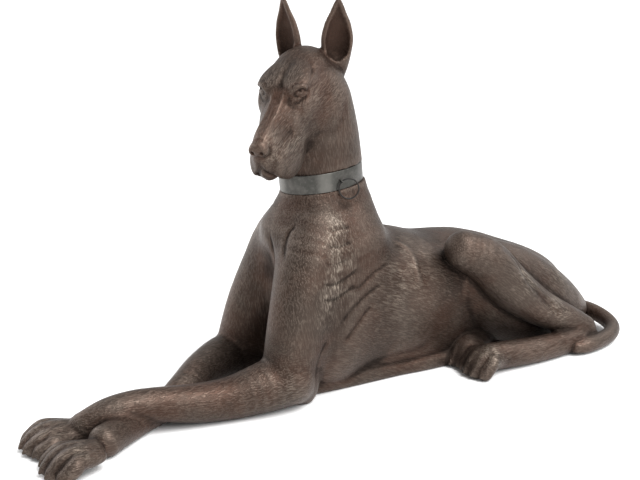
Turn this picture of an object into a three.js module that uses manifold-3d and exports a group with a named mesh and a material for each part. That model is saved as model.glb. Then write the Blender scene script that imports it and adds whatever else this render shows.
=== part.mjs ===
// A bronze dog lying down with its head up, a metal collar round its neck and a wire ring on the collar.
// Lengths are millimetres. The dog faces -Y, its left side is +X and +Z is up.
import * as THREE from 'three';
import Module from 'manifold-3d';

// Driving sizes.
const HEIGHT = 900;
const CLEARANCE = 0.3;
const BAND_WALL = 3.5;
const BAND_HEIGHT = 44;
const BAND_TILT = 6;
const RING_RADIUS = 23;
const RING_WIRE = 1.8;
const RING_STANDOFF = 13.5;
const RING_DROP = 20;
const RING_LEAN = 10;
const RING_SWIVEL = 26;
const RING_ROOM = 0.8;
const LOOP_RADIUS = 4.8;
const LOOP_WIRE = 1.5;
const UNDERSIDE_TRIM = 0.6;

// The figure is laid out on a grid of 900 steps to its height.
const GRID = 900;
const STEP = HEIGHT / GRID;
const BAND_HALF_WIDTH = 83 * STEP;
const BAND_HALF_LENGTH = 104 * STEP;
const CELL = 5;
const DOG_TRIANGLES = 7600;

// Head pose: turned to the dog's left and drooped, about the middle of the brow.
const HEAD_TURN = THREE.MathUtils.degToRad(34);
const HEAD_DROOP = THREE.MathUtils.degToRad(28);
const BROW = new THREE.Vector3(51, -214, 716);

// Short ways to write directions.
const at = (x, y, z) => new THREE.Vector3(x, y, z);
const UP = at(0, 0, 1);
const REAR = at(0, 1, 0);
const headLevel = at(Math.sin(HEAD_TURN), -Math.cos(HEAD_TURN), 0);
const headForward = headLevel.clone().multiplyScalar(Math.cos(HEAD_DROOP)).addScaledVector(UP, -Math.sin(HEAD_DROOP));
const headUp = headLevel.clone().multiplyScalar(Math.sin(HEAD_DROOP)).addScaledVector(UP, Math.cos(HEAD_DROOP));
const headLeft = at(Math.cos(HEAD_TURN), Math.sin(HEAD_TURN), 0);
const HEAD_AXES = [headForward, headLeft, headUp];

// A place on the head: forward of the brow, to the dog's left of its middle line, and up.
function onHead(forward, left, up) {
  const place = BROW.clone();
  place.addScaledVector(headForward, forward);
  place.addScaledVector(headLeft, left);
  return place.addScaledVector(headUp, up);
}

// A smooth curve through stations of any number of values, with a few pieces to each span.
function curveThrough(stations, pieces) {
  const count = stations.length;
  const value = (i, k) => {
    if (i < 0) return 2 * stations[0][k] - stations[1][k];
    if (i >= count) return 2 * stations[count - 1][k] - stations[count - 2][k];
    return stations[i][k];
  };
  const out = [];
  for (let i = 0; i < count - 1; i++) {
    for (let s = 0; s < pieces; s++) {
      const t = s / pieces;
      out.push(stations[i].map((_, k) => {
        const a = value(i - 1, k);
        const b = value(i, k);
        const c = value(i + 1, k);
        const d = value(i + 2, k);
        return 0.5 * (2 * b + (c - a) * t + (2 * a - 5 * b + 4 * c - d) * t * t + (3 * b - a - 3 * c + d) * t * t * t);
      }));
    }
  }
  out.push([...stations[count - 1]]);
  return out;
}

// Distance to a chain of round cones, given as [x, y, z, radius] along it.
function chainShape(stations, pieces) {
  const line = curveThrough(stations, pieces);
  const middle = at(0, 0, 0);
  for (const p of line) middle.add(at(p[0], p[1], p[2]).divideScalar(line.length));
  const reach = Math.max(...line.map((p) => middle.distanceTo(at(p[0], p[1], p[2])) + p[3]));
  const distance = (x, y, z) => {
    let best = Infinity;
    for (let i = 0; i < line.length - 1; i++) {
      const a = line[i];
      const b = line[i + 1];
      const bx = b[0] - a[0];
      const by = b[1] - a[1];
      const bz = b[2] - a[2];
      const px = x - a[0];
      const py = y - a[1];
      const pz = z - a[2];
      const t = Math.min(1, Math.max(0, (px * bx + py * by + pz * bz) / (bx * bx + by * by + bz * bz + 1e-9)));
      const gap = Math.hypot(px - t * bx, py - t * by, pz - t * bz) - (a[3] + (b[3] - a[3]) * t);
      if (gap < best) best = gap;
    }
    return best;
  };
  return { distance, middle, reach };
}

// Distance to an ellipsoid with its three half sizes along the given axes.
function ellipsoidShape(centre, half, axes) {
  const [u, v, w] = axes;
  const distance = (x, y, z) => {
    const px = x - centre.x;
    const py = y - centre.y;
    const pz = z - centre.z;
    const a = (px * u.x + py * u.y + pz * u.z) / half[0];
    const b = (px * v.x + py * v.y + pz * v.z) / half[1];
    const c = (px * w.x + py * w.y + pz * w.z) / half[2];
    const k = Math.hypot(a, b, c);
    if (k < 1e-4) return -Math.min(...half);
    return k * (k - 1) / Math.hypot(a / half[0], b / half[1], c / half[2]);
  };
  return { distance, middle: centre, reach: Math.max(...half) };
}

// Values between stations with slopes that never overshoot, as a dense table for each column.
const TABLE = 240;
function columnTables(stations) {
  const first = stations[0][0];
  const last = stations[stations.length - 1][0];
  const tables = [];
  for (let column = 1; column < stations[0].length; column++) {
    const slopes = stations.map((_, i) => {
      const rate = (j) => (stations[j + 1][column] - stations[j][column]) / (stations[j + 1][0] - stations[j][0]);
      if (i === 0) return rate(0);
      if (i === stations.length - 1) return rate(i - 1);
      const before = rate(i - 1);
      const after = rate(i);
      return before * after <= 0 ? 0 : 2 * before * after / (before + after);
    });
    const table = new Float64Array(TABLE + 2);
    for (let n = 0; n <= TABLE; n++) {
      const x = first + (last - first) * n / TABLE;
      let j = 0;
      while (j < stations.length - 2 && x >= stations[j + 1][0]) j++;
      const h = stations[j + 1][0] - stations[j][0];
      const t = (x - stations[j][0]) / h;
      const rise = t * t * (3 - 2 * t);
      table[n] = (1 - rise) * stations[j][column] + rise * stations[j + 1][column]
        + h * t * (1 - t) * ((1 - t) * slopes[j] - t * slopes[j + 1]);
    }
    table[TABLE + 1] = table[TABLE];
    tables.push(table);
  }
  return { tables, first, last };
}

// Distance to a body with egg-shaped cross-sections along an axis.
// A station is [distance along, half width, top, widest level, bottom, squareness].
function loftShape(origin, along, upward, stations) {
  const a = along.clone().normalize();
  const u = upward.clone().addScaledVector(a, -upward.dot(a)).normalize();
  const s = new THREE.Vector3().crossVectors(a, u);
  const { tables, first, last } = columnTables(stations);
  const [widths, tops, levels, bottoms, powers] = tables;
  const distance = (x, y, z) => {
    const px = x - origin.x;
    const py = y - origin.y;
    const pz = z - origin.z;
    const t = px * a.x + py * a.y + pz * a.z;
    const clamped = Math.min(last, Math.max(first, t));
    const place = (clamped - first) / (last - first) * TABLE;
    const n = Math.floor(place);
    const f = place - n;
    const read = (table) => table[n] + (table[n + 1] - table[n]) * f;
    const level = read(levels);
    const across = px * s.x + py * s.y + pz * s.z;
    const height = px * u.x + py * u.y + pz * u.z - level;
    const half = Math.max(1, height > 0 ? read(tops) - level : level - read(bottoms));
    const width = Math.max(1, read(widths));
    const power = read(powers);
    const rho = Math.pow(Math.pow(Math.abs(across) / width, power) + Math.pow(Math.abs(height) / half, power), 1 / power);
    const gap = rho > 1e-4 ? Math.hypot(across, height) * (1 - 1 / rho) : -Math.min(width, half);
    const beyond = Math.abs(t - clamped);
    return beyond > 0 ? Math.hypot(Math.max(gap, 0), beyond) : gap;
  };
  const middle = origin.clone().addScaledVector(a, (first + last) / 2);
  const mean = stations.reduce((sum, row) => sum + row[3], 0) / stations.length;
  middle.addScaledVector(u, mean);
  const across = Math.max(...stations.map((row) => Math.max(row[1], (row[2] - row[4]) / 1.5)));
  return { distance, middle, reach: Math.hypot((last - first) / 2, across) + 20 };
}

// How far a surface is pushed in (or out, for a negative depth) near a curve that fades at its ends.
function creaseShape(points, width, depth) {
  const line = curveThrough(points.map((p) => [p.x, p.y, p.z]), 4);
  const middle = at(0, 0, 0);
  for (const p of line) middle.add(at(p[0], p[1], p[2]).divideScalar(line.length));
  const reach = Math.max(...line.map((p) => middle.distanceTo(at(p[0], p[1], p[2])))) + 3 * width;
  const distance = (x, y, z) => {
    let best = Infinity;
    let fade = 0;
    for (let i = 0; i < line.length - 1; i++) {
      const a = line[i];
      const b = line[i + 1];
      const bx = b[0] - a[0];
      const by = b[1] - a[1];
      const bz = b[2] - a[2];
      const px = x - a[0];
      const py = y - a[1];
      const pz = z - a[2];
      const t = Math.min(1, Math.max(0, (px * bx + py * by + pz * bz) / (bx * bx + by * by + bz * bz + 1e-9)));
      const gap = Math.hypot(px - t * bx, py - t * by, pz - t * bz);
      if (gap < best) {
        best = gap;
        const share = (i + t) / (line.length - 1);
        fade = Math.min(1, 6 * Math.min(share, 1 - share));
      }
    }
    return depth * fade * Math.exp(-(best / width) * (best / width));
  };
  return { distance, middle, reach };
}

// A form made of parts blended together, less parts cut away, with creases pressed in.
class Form {
  constructor() {
    this.parts = [];
  }

  blend(shape, softness) {
    this.parts.push({ ...shape, softness, act: 'blend', margin: 40 + softness });
  }

  cut(shape, softness) {
    this.parts.push({ ...shape, softness, act: 'cut', margin: 40 + softness });
  }

  press(shape) {
    this.parts.push({ ...shape, softness: 0, act: 'press', margin: 0 });
  }

  // The parts that matter inside a ball.
  near(x, y, z, radius) {
    return this.parts.filter((part) => {
      const reach = part.reach + part.margin + radius;
      return (x - part.middle.x) ** 2 + (y - part.middle.y) ** 2 + (z - part.middle.z) ** 2 < reach * reach;
    });
  }

  distance(parts, x, y, z) {
    let d = 1000;
    for (const part of parts) {
      const reach = part.reach + part.margin;
      if ((x - part.middle.x) ** 2 + (y - part.middle.y) ** 2 + (z - part.middle.z) ** 2 > reach * reach) continue;
      const e = part.distance(x, y, z);
      const k = part.softness;
      if (part.act === 'press') {
        d += e;
      } else if (part.act === 'blend') {
        const h = Math.max(k - Math.abs(d - e), 0) / k;
        d = Math.min(d, e) - h * h * k / 4;
      } else {
        const h = Math.max(k - Math.abs(d + e), 0) / k;
        d = Math.max(d, -e) + h * h * k / 4;
      }
    }
    return d;
  }
}

// The whole dog as a form.
function dogForm() {
  const form = new Form();
  const level = [at(1, 0, 0), at(0, 1, 0), UP];
  const loft = (origin, along, upward, stations, k) => form.blend(loftShape(origin, along, upward, stations), k);
  const blob = (centre, half, k, axes = level) => form.blend(ellipsoidShape(centre, half, axes), k);
  const hollow = (centre, half, k, axes = level) => form.cut(ellipsoidShape(centre, half, axes), k);
  const limb = (stations, k, pieces = 4) => form.blend(chainShape(stations, pieces), k);
  const crease = (points, width, depth) => form.press(creaseShape(points, width, depth));
  const sized = (place, radius) => [place.x, place.y, place.z, radius];

  // Trunk, from behind the elbows to the rump, with the rib cage and the chest.
  loft(at(0, 0, 0), REAR, UP, [
    [-150, 108, 300, 190, -46, 2.3],
    [-90, 126, 350, 200, -46, 2.3],
    [-20, 138, 354, 195, -46, 2.4],
    [60, 148, 332, 180, -46, 2.4],
    [150, 152, 324, 172, -60, 2.4],
    [210, 150, 317, 170, -80, 2.3],
    [330, 136, 306, 165, -60, 2.2],
    [410, 128, 286, 155, -40, 2.2],
    [490, 124, 256, 140, -30, 2.2],
    [580, 116, 220, 115, -20, 2.2],
    [645, 98, 184, 90, -12, 2.1],
    [695, 70, 136, 70, -4, 2.0],
    [725, 40, 100, 54, 14, 2.0],
    [738, 16, 76, 52, 30, 2.0],
  ], 10);
  blob(at(0, -100, 235), [98, 108, 165], 40);
  blob(at(0, -118, 70), [112, 84, 96], 30);
  for (const side of [1, -1]) blob(at(34 * side, 60, 190), [122, 190, 150], 40);

  // Neck, flaring like a cape into the shoulders. The stations run up, and "top" is the nape.
  loft(at(0, 0, 300), at(0.02, -0.227, 0.974), REAR, [
    [-40, 104, 96, -30, -176, 2.2],
    [20, 128, 92, -40, -190, 2.3],
    [60, 140, 80, -40, -202, 2.3],
    [100, 124, 74, -30, -208, 2.2],
    [135, 108, 71, -25, -201, 2.2],
    [160, 94, 71, -22, -178, 2.1],
    [193, 82, 72, -22, -142, 2.1],
    [240, 78, 76, -20, -118, 2.1],
    [310, 76, 80, -16, -104, 2.1],
    [380, 72, 78, -14, -100, 2.1],
    [430, 62, 68, -14, -92, 2.0],
    [456, 44, 46, -12, -74, 2.0],
    [470, 20, 16, -12, -40, 2.0],
  ], 30);

  // Shoulders, upper arms and elbows.
  const arms = [
    { side: 1, shoulder: at(90, -172, 318), elbow: at(124, -246, 78) },
    { side: -1, shoulder: at(-86, -140, 305), elbow: at(-112, -240, 62) },
  ];
  for (const { side, shoulder, elbow } of arms) {
    blob(at(92 * side, -78, 285), [58, 110, 120], 50);
    blob(at(100 * side, -110, 150), [58, 112, 125], 50);
    const top = shoulder.clone().add(at(-12 * side, 34, 70));
    const middle = shoulder.clone().lerp(elbow, 0.5).add(at(8 * side, -6, 0));
    limb([sized(top, 50), sized(shoulder, 68), sized(middle, 66), sized(elbow, 60)], 44);
    blob(elbow.clone().add(at(0, 38, -40)), [34, 38, 46], 24);
  }

  // Forelegs. The left one lies across the right one at the wrist.
  limb([
    [124, -246, 66, 62], [120, -300, 58, 58], [108, -385, 46, 48], [92, -470, 48, 43],
    [76, -545, 58, 38], [66, -600, 61, 37], [59, -656, 55, 36], [50, -708, 38, 31],
  ], 12);
  limb([
    [-110, -240, 54, 54], [-92, -300, 55, 53], [-48, -378, 53, 45], [4, -448, 45, 39],
    [44, -522, 31, 31], [70, -585, 28, 30], [97, -640, 30, 33], [128, -692, 32, 35],
  ], 12);

  // The fold of skin along the ground under the left of the belly.
  limb([
    [94, -170, 20, 24], [98, -100, 18, 25], [104, 0, 18, 25],
    [109, 80, 18, 25], [118, 150, 18, 25], [124, 210, 18, 23],
  ], 8);

  // Left hind leg: thigh, shank with the raised knee, and the foot lying forward along the ground.
  loft(at(112, 460, 0), REAR, UP, [
    [-200, 34, 292, 230, 150, 2.0],
    [-120, 66, 300, 190, 60, 2.1],
    [-20, 78, 274, 150, 10, 2.2],
    [80, 78, 220, 120, 5, 2.2],
    [160, 67, 160, 80, 5, 2.1],
    [225, 36, 98, 60, 20, 2.0],
    [250, 8, 70, 55, 40, 2.0],
  ], 26);
  limb([
    [146, 244, 298, 47], [160, 306, 262, 57], [176, 372, 190, 57],
    [192, 460, 124, 47], [208, 545, 78, 39], [221, 598, 50, 32],
  ], 8);
  limb([
    [226, 604, 34, 27], [232, 560, 33, 32], [237, 480, 30, 32],
    [236, 400, 32, 33], [229, 320, 36, 34], [226, 282, 38, 34],
  ], 10);

  // Right hind foot, just showing under the belly.
  limb([[40, 430, 35, 32], [100, 340, 34, 32], [140, 270, 38, 34]], 10);

  // Tail, curling round on the ground to the dog's left with its tip at the hock.
  limb([
    [20, 668, 44, 32], [60, 708, 41, 25], [116, 732, 39, 22],
    [172, 731, 33, 21], [218, 711, 27, 20], [249, 668, 24, 20],
    [263, 616, 22, 20], [268, 566, 22, 20], [265, 536, 20, 16],
  ], 10);

  // Paws of four toes, each with a short claw.
  const paw = (centre, ahead, length, width, toe, drops) => {
    const front = ahead.clone().normalize();
    const left = at(-front.y, front.x, 0);
    blob(centre, [length * 0.42, width * 0.42, 25], 14, [front, left, UP]);
    drops.forEach((drop, i) => {
      const v = (i - 1.5) / 1.5;
      const reach = length * (0.6 - 0.12 * v * v);
      const side = width * 0.4 * v;
      const spot = (sideways, forward, up) => centre.clone()
        .addScaledVector(left, sideways).addScaledVector(front, forward).addScaledVector(UP, up);
      const tip = spot(side * 1.1, reach, 16 - centre.z);
      limb([
        sized(spot(side * 0.62, -length * 0.28, 6 - drop), toe * 0.85),
        sized(spot(side * 0.95, length * 0.14, 11 - drop), toe),
        sized(spot(side * 1.08, reach - 20, 3 - drop * 0.7), toe * 0.98),
        sized(tip, toe * 0.84),
      ], 9, 3);
      limb([
        sized(tip.clone().addScaledVector(front, toe * 0.55).add(at(0, 0, 3)), 5.5),
        sized(tip.clone().addScaledVector(front, toe * 1.12).add(at(0, 0, -4)), 3.5),
      ], 3, 1);
    });
  };
  paw(at(38, -757, 28), at(-0.03, -1, 0), 110, 92, 16.5, [2, 0, 6, 12]);
  paw(at(160, -758, 31), at(0.05, -1, 0), 108, 100, 17, [8, 0, 0, 6]);
  paw(at(225, 270, 38), at(0.05, -1, 0), 92, 80, 16, [6, 0, 0, 6]);
  paw(at(150, 272, 38), at(0.25, -1, 0), 84, 74, 15, [6, 0, 0, 6]);

  // Skull and muzzle, from the back of the head towards the lips.
  loft(BROW, headForward, headUp, [
    [-176, 34, -14, -44, -84, 2.2],
    [-160, 50, 2, -46, -112, 2.3],
    [-118, 65, 17, -52, -146, 2.6],
    [-62, 68, 20, -58, -154, 2.7],
    [-24, 62, 15, -62, -153, 2.8],
    [4, 53, 3, -68, -152, 2.8],
    [30, 44, -9, -92, -152, 2.2],
    [80, 40, -18, -104, -150, 2.1],
    [118, 36, -22, -108, -144, 2.2],
    [138, 30, -28, -104, -136, 2.2],
  ], 18);
  blob(onHead(-140, 0, -62), [48, 54, 62], 24, HEAD_AXES);
  blob(onHead(128, 0, -92), [40, 32, 50], 12, HEAD_AXES);

  // Cheeks, cheekbones, brows, eyes and hanging upper lips.
  for (const side of [1, -1]) {
    blob(onHead(-62, side * 44, -98), [66, 30, 62], 20, HEAD_AXES);
    blob(onHead(4, side > 0 ? 40 : -33, -78), [56, 18, 44], 24, HEAD_AXES);
    blob(onHead(-36, side * 50, -40), [46, 14, 26], 24, HEAD_AXES);
    blob(onHead(-20, side * 36, 5), [30, 20, 6], 24, HEAD_AXES);
    hollow(onHead(13, side * 52, -7), [16, 9, 12], 12, HEAD_AXES);
    blob(onHead(-8, side * 37, -8), [17, 17, 15], 2, HEAD_AXES);
    blob(onHead(90, side > 0 ? 31 : -26, -110), [66, 17, 40], 14, HEAD_AXES);
    blob(onHead(78, side > 0 ? 36 : -31, -134), [54, 13, 30], 14, HEAD_AXES);
    ear(side);
  }

  // Chin and nose.
  blob(onHead(116, 0, -132), [36, 18, 15], 5, HEAD_AXES);
  blob(onHead(150, 0, -46), [17, 20, 15], 6, HEAD_AXES);
  for (const side of [1, -1]) {
    blob(onHead(156, side * 13, -51), [10, 9, 10], 5, HEAD_AXES);
    hollow(onHead(168, side * 11, -51), [11, 4.5, 5], 3, HEAD_AXES);
    crease([
      onHead(170, 0, -64), onHead(168, side * 2, -88), onHead(160, side * 9, -106),
      onHead(148, side * 20, -124), onHead(130, side * 24, -140), onHead(100, side * 22, -152),
      onHead(60, side * 22, -150),
    ], 5, 7);
    crease([
      onHead(-100, side * 62, -20), onHead(-116, side * 66, -60), onHead(-104, side * 66, -104),
      onHead(-70, side * 58, -132),
    ], 10, 3);
  }
  crease([onHead(14, 0, 4), onHead(-20, 0, 18), onHead(-60, 0, 26), onHead(-110, 0, 26)], 8, 4);

  // An upright ear: a leaf-shaped shell, open towards the front and a little outward.
  function ear(side) {
    const lean = headForward.clone().multiplyScalar(-0.36)
      .addScaledVector(headUp, 0.92).addScaledVector(headLeft, side * 0.08).normalize();
    const turn = THREE.MathUtils.degToRad(side > 0 ? 32 : 24);
    const facing = headLevel.clone().multiplyScalar(Math.cos(turn))
      .addScaledVector(headLeft, side * Math.sin(turn));
    const root = onHead(-166, side > 0 ? 61 : -52, -58);
    const spread = side > 0 ? 1 : 1.15;
    form.blend(loftShape(root, lean, facing, [
      [-24, 16 * spread, 8, 0, -18, 2.0],
      [0, 24 * spread, 18, 0, -26, 2.0],
      [34, 31 * spread, 22, 0, -22, 2.0],
      [66, 34.5 * spread, 18, 0, -18, 2.0],
      [100, 29 * spread, 12, 0, -14, 2.0],
      [130, 18.5, 7, 0, -9, 2.0],
      [152, 9, 4, 0, -6, 2.0],
      [163, 2, 2, 0, -2, 2.0],
    ]), 12);
    form.cut(loftShape(root, lean, facing, [
      [22, 5, 26, 16, 8, 2.0],
      [38, 22, 50, 20, -8, 2.0],
      [66, 26, 50, 18, -8, 2.0],
      [100, 20.5, 40, 14, -4, 2.0],
      [130, 11, 30, 10, 0, 2.0],
      [150, 4, 20, 8, 3, 2.0],
    ]), 4);
  }

  // Everything under the ground is cut off level.
  form.cut({ distance: (x, y, z) => z, middle: at(0, 0, 0), reach: 3 * GRID }, 3);
  return form;
}

// Samples a form on a grid near its surface and skins it with one point in each crossed cell.
function skin(form, low, high, cell) {
  const block = 6;
  const count = ['x', 'y', 'z'].map((k) => Math.ceil((high[k] - low[k]) / cell / block) * block + 1);
  const [nx, ny, nz] = count;
  const index = (i, j, k) => (i * ny + j) * nz + k;
  const field = new Float32Array(nx * ny * nz).fill(99);
  const known = new Uint8Array(nx * ny * nz);
  const radius = block * cell * Math.sqrt(3) / 2;
  for (let bi = 0; bi < nx - 1; bi += block) {
    for (let bj = 0; bj < ny - 1; bj += block) {
      for (let bk = 0; bk < nz - 1; bk += block) {
        const cx = low.x + (bi + block / 2) * cell;
        const cy = low.y + (bj + block / 2) * cell;
        const cz = low.z + (bk + block / 2) * cell;
        const parts = form.near(cx, cy, cz, radius);
        const middle = form.distance(parts, cx, cy, cz);
        const near = Math.abs(middle) < radius * 1.35 + 12;
        for (let i = bi; i <= bi + block; i++) {
          for (let j = bj; j <= bj + block; j++) {
            for (let k = bk; k <= bk + block; k++) {
              const n = index(i, j, k);
              if (known[n]) continue;
              if (near) {
                field[n] = form.distance(parts, low.x + i * cell, low.y + j * cell, low.z + k * cell);
                known[n] = 1;
              } else {
                field[n] = middle < 0 ? -99 : 99;
              }
            }
          }
        }
      }
    }
  }
  closeDiagonals(field, count, index);
  return netOf(field, count, index, low, cell);
}

// The cells that the surface passes through, as [i, j, k].
function crossedCells(field, [nx, ny, nz]) {
  const cells = [];
  const offsets = [0, 1, nz, nz + 1, ny * nz, ny * nz + 1, ny * nz + nz, ny * nz + nz + 1];
  for (let i = 0; i < nx - 1; i++) {
    for (let j = 0; j < ny - 1; j++) {
      for (let k = 0; k < nz - 1; k++) {
        const n = (i * ny + j) * nz + k;
        let inside = 0;
        for (let m = 0; m < 8; m++) if (field[n + offsets[m]] < 0) inside += 1;
        if (inside > 0 && inside < 8) cells.push([i, j, k]);
      }
    }
  }
  return cells;
}

// Fills the places where the form would touch itself along an edge or at a corner only.
function closeDiagonals(field, count, index) {
  const steps = [[1, 0, 0], [0, 1, 0], [0, 0, 1]];
  let changed = true;
  while (changed) {
    changed = false;
    for (const [i, j, k] of crossedCells(field, count)) {
      for (let axis = 0; axis < 3; axis++) {
        const u = steps[axis];
        const v = steps[(axis + 1) % 3];
        const a = index(i, j, k);
        const b = index(i + u[0], j + u[1], k + u[2]);
        const c = index(i + v[0], j + v[1], k + v[2]);
        const d = index(i + u[0] + v[0], j + u[1] + v[1], k + u[2] + v[2]);
        const first = field[a] < 0;
        if (first !== field[d] < 0 || field[b] < 0 !== field[c] < 0 || first === field[b] < 0) continue;
        field[first ? b : a] = -0.2;
        changed = true;
      }
      const corner = (n) => index(i + (n & 1), j + ((n >> 1) & 1), k + ((n >> 2) & 1));
      for (let n = 0; n < 4; n++) {
        const inside = field[corner(n)] < 0;
        if (field[corner(7 - n)] < 0 !== inside) continue;
        const others = [0, 1, 2, 3, 4, 5, 6, 7].filter((m) => m !== n && m !== 7 - n);
        if (others.some((m) => field[corner(m)] < 0 === inside)) continue;
        field[inside ? corner(others[0]) : corner(n)] = -0.2;
        changed = true;
      }
    }
  }
}

// One point in each crossed cell, and a pair of triangles over each crossed grid edge.
function netOf(field, count, index, low, cell) {
  const [nx, ny, nz] = count;
  const points = [];
  const pointAt = new Int32Array(nx * ny * nz).fill(-1);
  for (const [i, j, k] of crossedCells(field, count)) {
    const sum = [0, 0, 0];
    let crossings = 0;
    for (let n = 0; n < 8; n++) {
      const a = [n & 1, (n >> 1) & 1, (n >> 2) & 1];
      const va = field[index(i + a[0], j + a[1], k + a[2])];
      for (let axis = 0; axis < 3; axis++) {
        if (a[axis]) continue;
        const b = [...a];
        b[axis] = 1;
        const vb = field[index(i + b[0], j + b[1], k + b[2])];
        if (va < 0 === vb < 0) continue;
        const t = va / (va - vb);
        for (let m = 0; m < 3; m++) sum[m] += a[m] + (b[m] - a[m]) * t;
        crossings += 1;
      }
    }
    pointAt[index(i, j, k)] = points.length / 3;
    points.push(
      low.x + (i + sum[0] / crossings) * cell,
      low.y + (j + sum[1] / crossings) * cell,
      low.z + (k + sum[2] / crossings) * cell,
    );
  }
  const faces = [];
  for (let i = 1; i < nx - 1; i++) {
    for (let j = 1; j < ny - 1; j++) {
      for (let k = 1; k < nz - 1; k++) {
        const inside = field[index(i, j, k)] < 0;
        for (let axis = 0; axis < 3; axis++) {
          const next = [i, j, k];
          next[axis] += 1;
          if (field[index(...next)] < 0 === inside) continue;
          const u = (axis + 1) % 3;
          const v = (axis + 2) % 3;
          const corner = (du, dv) => {
            const c = [i, j, k];
            c[u] -= du;
            c[v] -= dv;
            return pointAt[index(...c)];
          };
          const loop = [corner(1, 1), corner(0, 1), corner(0, 0), corner(1, 0)];
          if (!inside) loop.reverse();
          faces.push(loop[0], loop[1], loop[2], loop[0], loop[2], loop[3]);
        }
      }
    }
  }
  return { points: Float64Array.from(points), faces: Uint32Array.from(faces) };
}

// Thins a closed mesh by collapsing the edges that change its form least.
// A pass sorts the edges by cost and collapses those that don't share a neighbourhood.
function thin(mesh, wanted, care) {
  let { points, faces } = mesh;
  const vertexCount = points.length / 3;
  const quadrics = new Float64Array(vertexCount * 10);
  for (let f = 0; f < faces.length; f += 3) {
    const n = planeOf(points, faces[f], faces[f + 1], faces[f + 2]);
    const d = -(n[0] * points[3 * faces[f]] + n[1] * points[3 * faces[f] + 1] + n[2] * points[3 * faces[f] + 2]);
    const p = [n[0], n[1], n[2], d];
    for (let c = 0; c < 3; c++) {
      let m = faces[f + c] * 10;
      for (let a = 0; a < 4; a++) for (let b = a; b < 4; b++) quadrics[m++] += p[a] * p[b] * n[3];
    }
  }
  const costAt = (u, v, x, y, z) => {
    const q = (n) => quadrics[u * 10 + n] + quadrics[v * 10 + n];
    return q(0) * x * x + 2 * q(1) * x * y + 2 * q(2) * x * z + 2 * q(3) * x + q(4) * y * y
      + 2 * q(5) * y * z + 2 * q(6) * y + q(7) * z * z + 2 * q(8) * z + q(9);
  };
  while (faces.length / 3 > wanted) {
    const start = new Uint32Array(vertexCount + 1);
    for (const v of faces) start[v + 1]++;
    for (let v = 0; v < vertexCount; v++) start[v + 1] += start[v];
    const fill = start.slice();
    const around = new Uint32Array(faces.length);
    for (let f = 0; f < faces.length; f += 3) for (let c = 0; c < 3; c++) around[fill[faces[f + c]]++] = f;
    const edges = [];
    for (let f = 0; f < faces.length; f += 3) {
      for (let c = 0; c < 3; c++) {
        const u = faces[f + c];
        const v = faces[f + (c + 1) % 3];
        if (u > v) continue;
        const p = [0, 1, 2].map((k) => points[3 * u + k]);
        const q = [0, 1, 2].map((k) => points[3 * v + k]);
        const choices = [p, q, p.map((x, k) => (x + q[k]) / 2), solved(quadrics, u, v, p, q)];
        let best = null;
        for (const choice of choices) {
          if (!choice) continue;
          const cost = Math.max(0, costAt(u, v, ...choice));
          if (!best || cost < best.cost) best = { cost, place: choice };
        }
        const length = Math.hypot(p[0] - q[0], p[1] - q[1], p[2] - q[2]);
        edges.push({ u, v, place: best.place, cost: (best.cost + 0.02 * length * length) * care(p[0], p[1], p[2]) });
      }
    }
    edges.sort((a, b) => a.cost - b.cost);
    const touched = new Uint8Array(vertexCount);
    const gone = new Uint8Array(faces.length / 3);
    let left = faces.length / 3;
    const limit = edges[Math.floor(edges.length * 0.35)].cost;
    for (const { u, v, place, cost } of edges) {
      if (left <= wanted || cost > limit) break;
      if (touched[u] || touched[v]) continue;
      const ringOf = (w) => {
        const ring = new Set();
        for (let n = start[w]; n < start[w + 1]; n++) for (let c = 0; c < 3; c++) ring.add(faces[around[n] + c]);
        ring.delete(w);
        return ring;
      };
      const ringU = ringOf(u);
      const ringV = ringOf(v);
      let shared = 0;
      for (const w of ringU) if (ringV.has(w)) shared += 1;
      if (shared !== 2 || ringU.size + ringV.size < 8) continue;
      if (!keepsFacing(points, faces, around, start, u, v, place)) continue;
      if (!keepsFacing(points, faces, around, start, v, u, place)) continue;
      for (const w of ringU) touched[w] = 1;
      for (const w of ringV) touched[w] = 1;
      for (let k = 0; k < 3; k++) points[3 * u + k] = place[k];
      for (let n = 0; n < 10; n++) quadrics[u * 10 + n] += quadrics[v * 10 + n];
      for (let n = start[v]; n < start[v + 1]; n++) {
        const f = around[n];
        const corners = [faces[f], faces[f + 1], faces[f + 2]];
        if (corners.includes(u)) {
          gone[f / 3] = 1;
          left -= 1;
        } else {
          faces[f + corners.indexOf(v)] = u;
        }
      }
    }
    const kept = [];
    for (let f = 0; f < faces.length; f += 3) {
      if (!gone[f / 3]) kept.push(faces[f], faces[f + 1], faces[f + 2]);
    }
    faces = Uint32Array.from(kept);
  }
  return { points, faces };
}

// Unit normal of a triangle and its area.
function planeOf(points, a, b, c) {
  const ux = points[3 * b] - points[3 * a];
  const uy = points[3 * b + 1] - points[3 * a + 1];
  const uz = points[3 * b + 2] - points[3 * a + 2];
  const vx = points[3 * c] - points[3 * a];
  const vy = points[3 * c + 1] - points[3 * a + 1];
  const vz = points[3 * c + 2] - points[3 * a + 2];
  const nx = uy * vz - uz * vy;
  const ny = uz * vx - ux * vz;
  const nz = ux * vy - uy * vx;
  const size = Math.hypot(nx, ny, nz) || 1;
  return [nx / size, ny / size, nz / size, size / 2];
}

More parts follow.
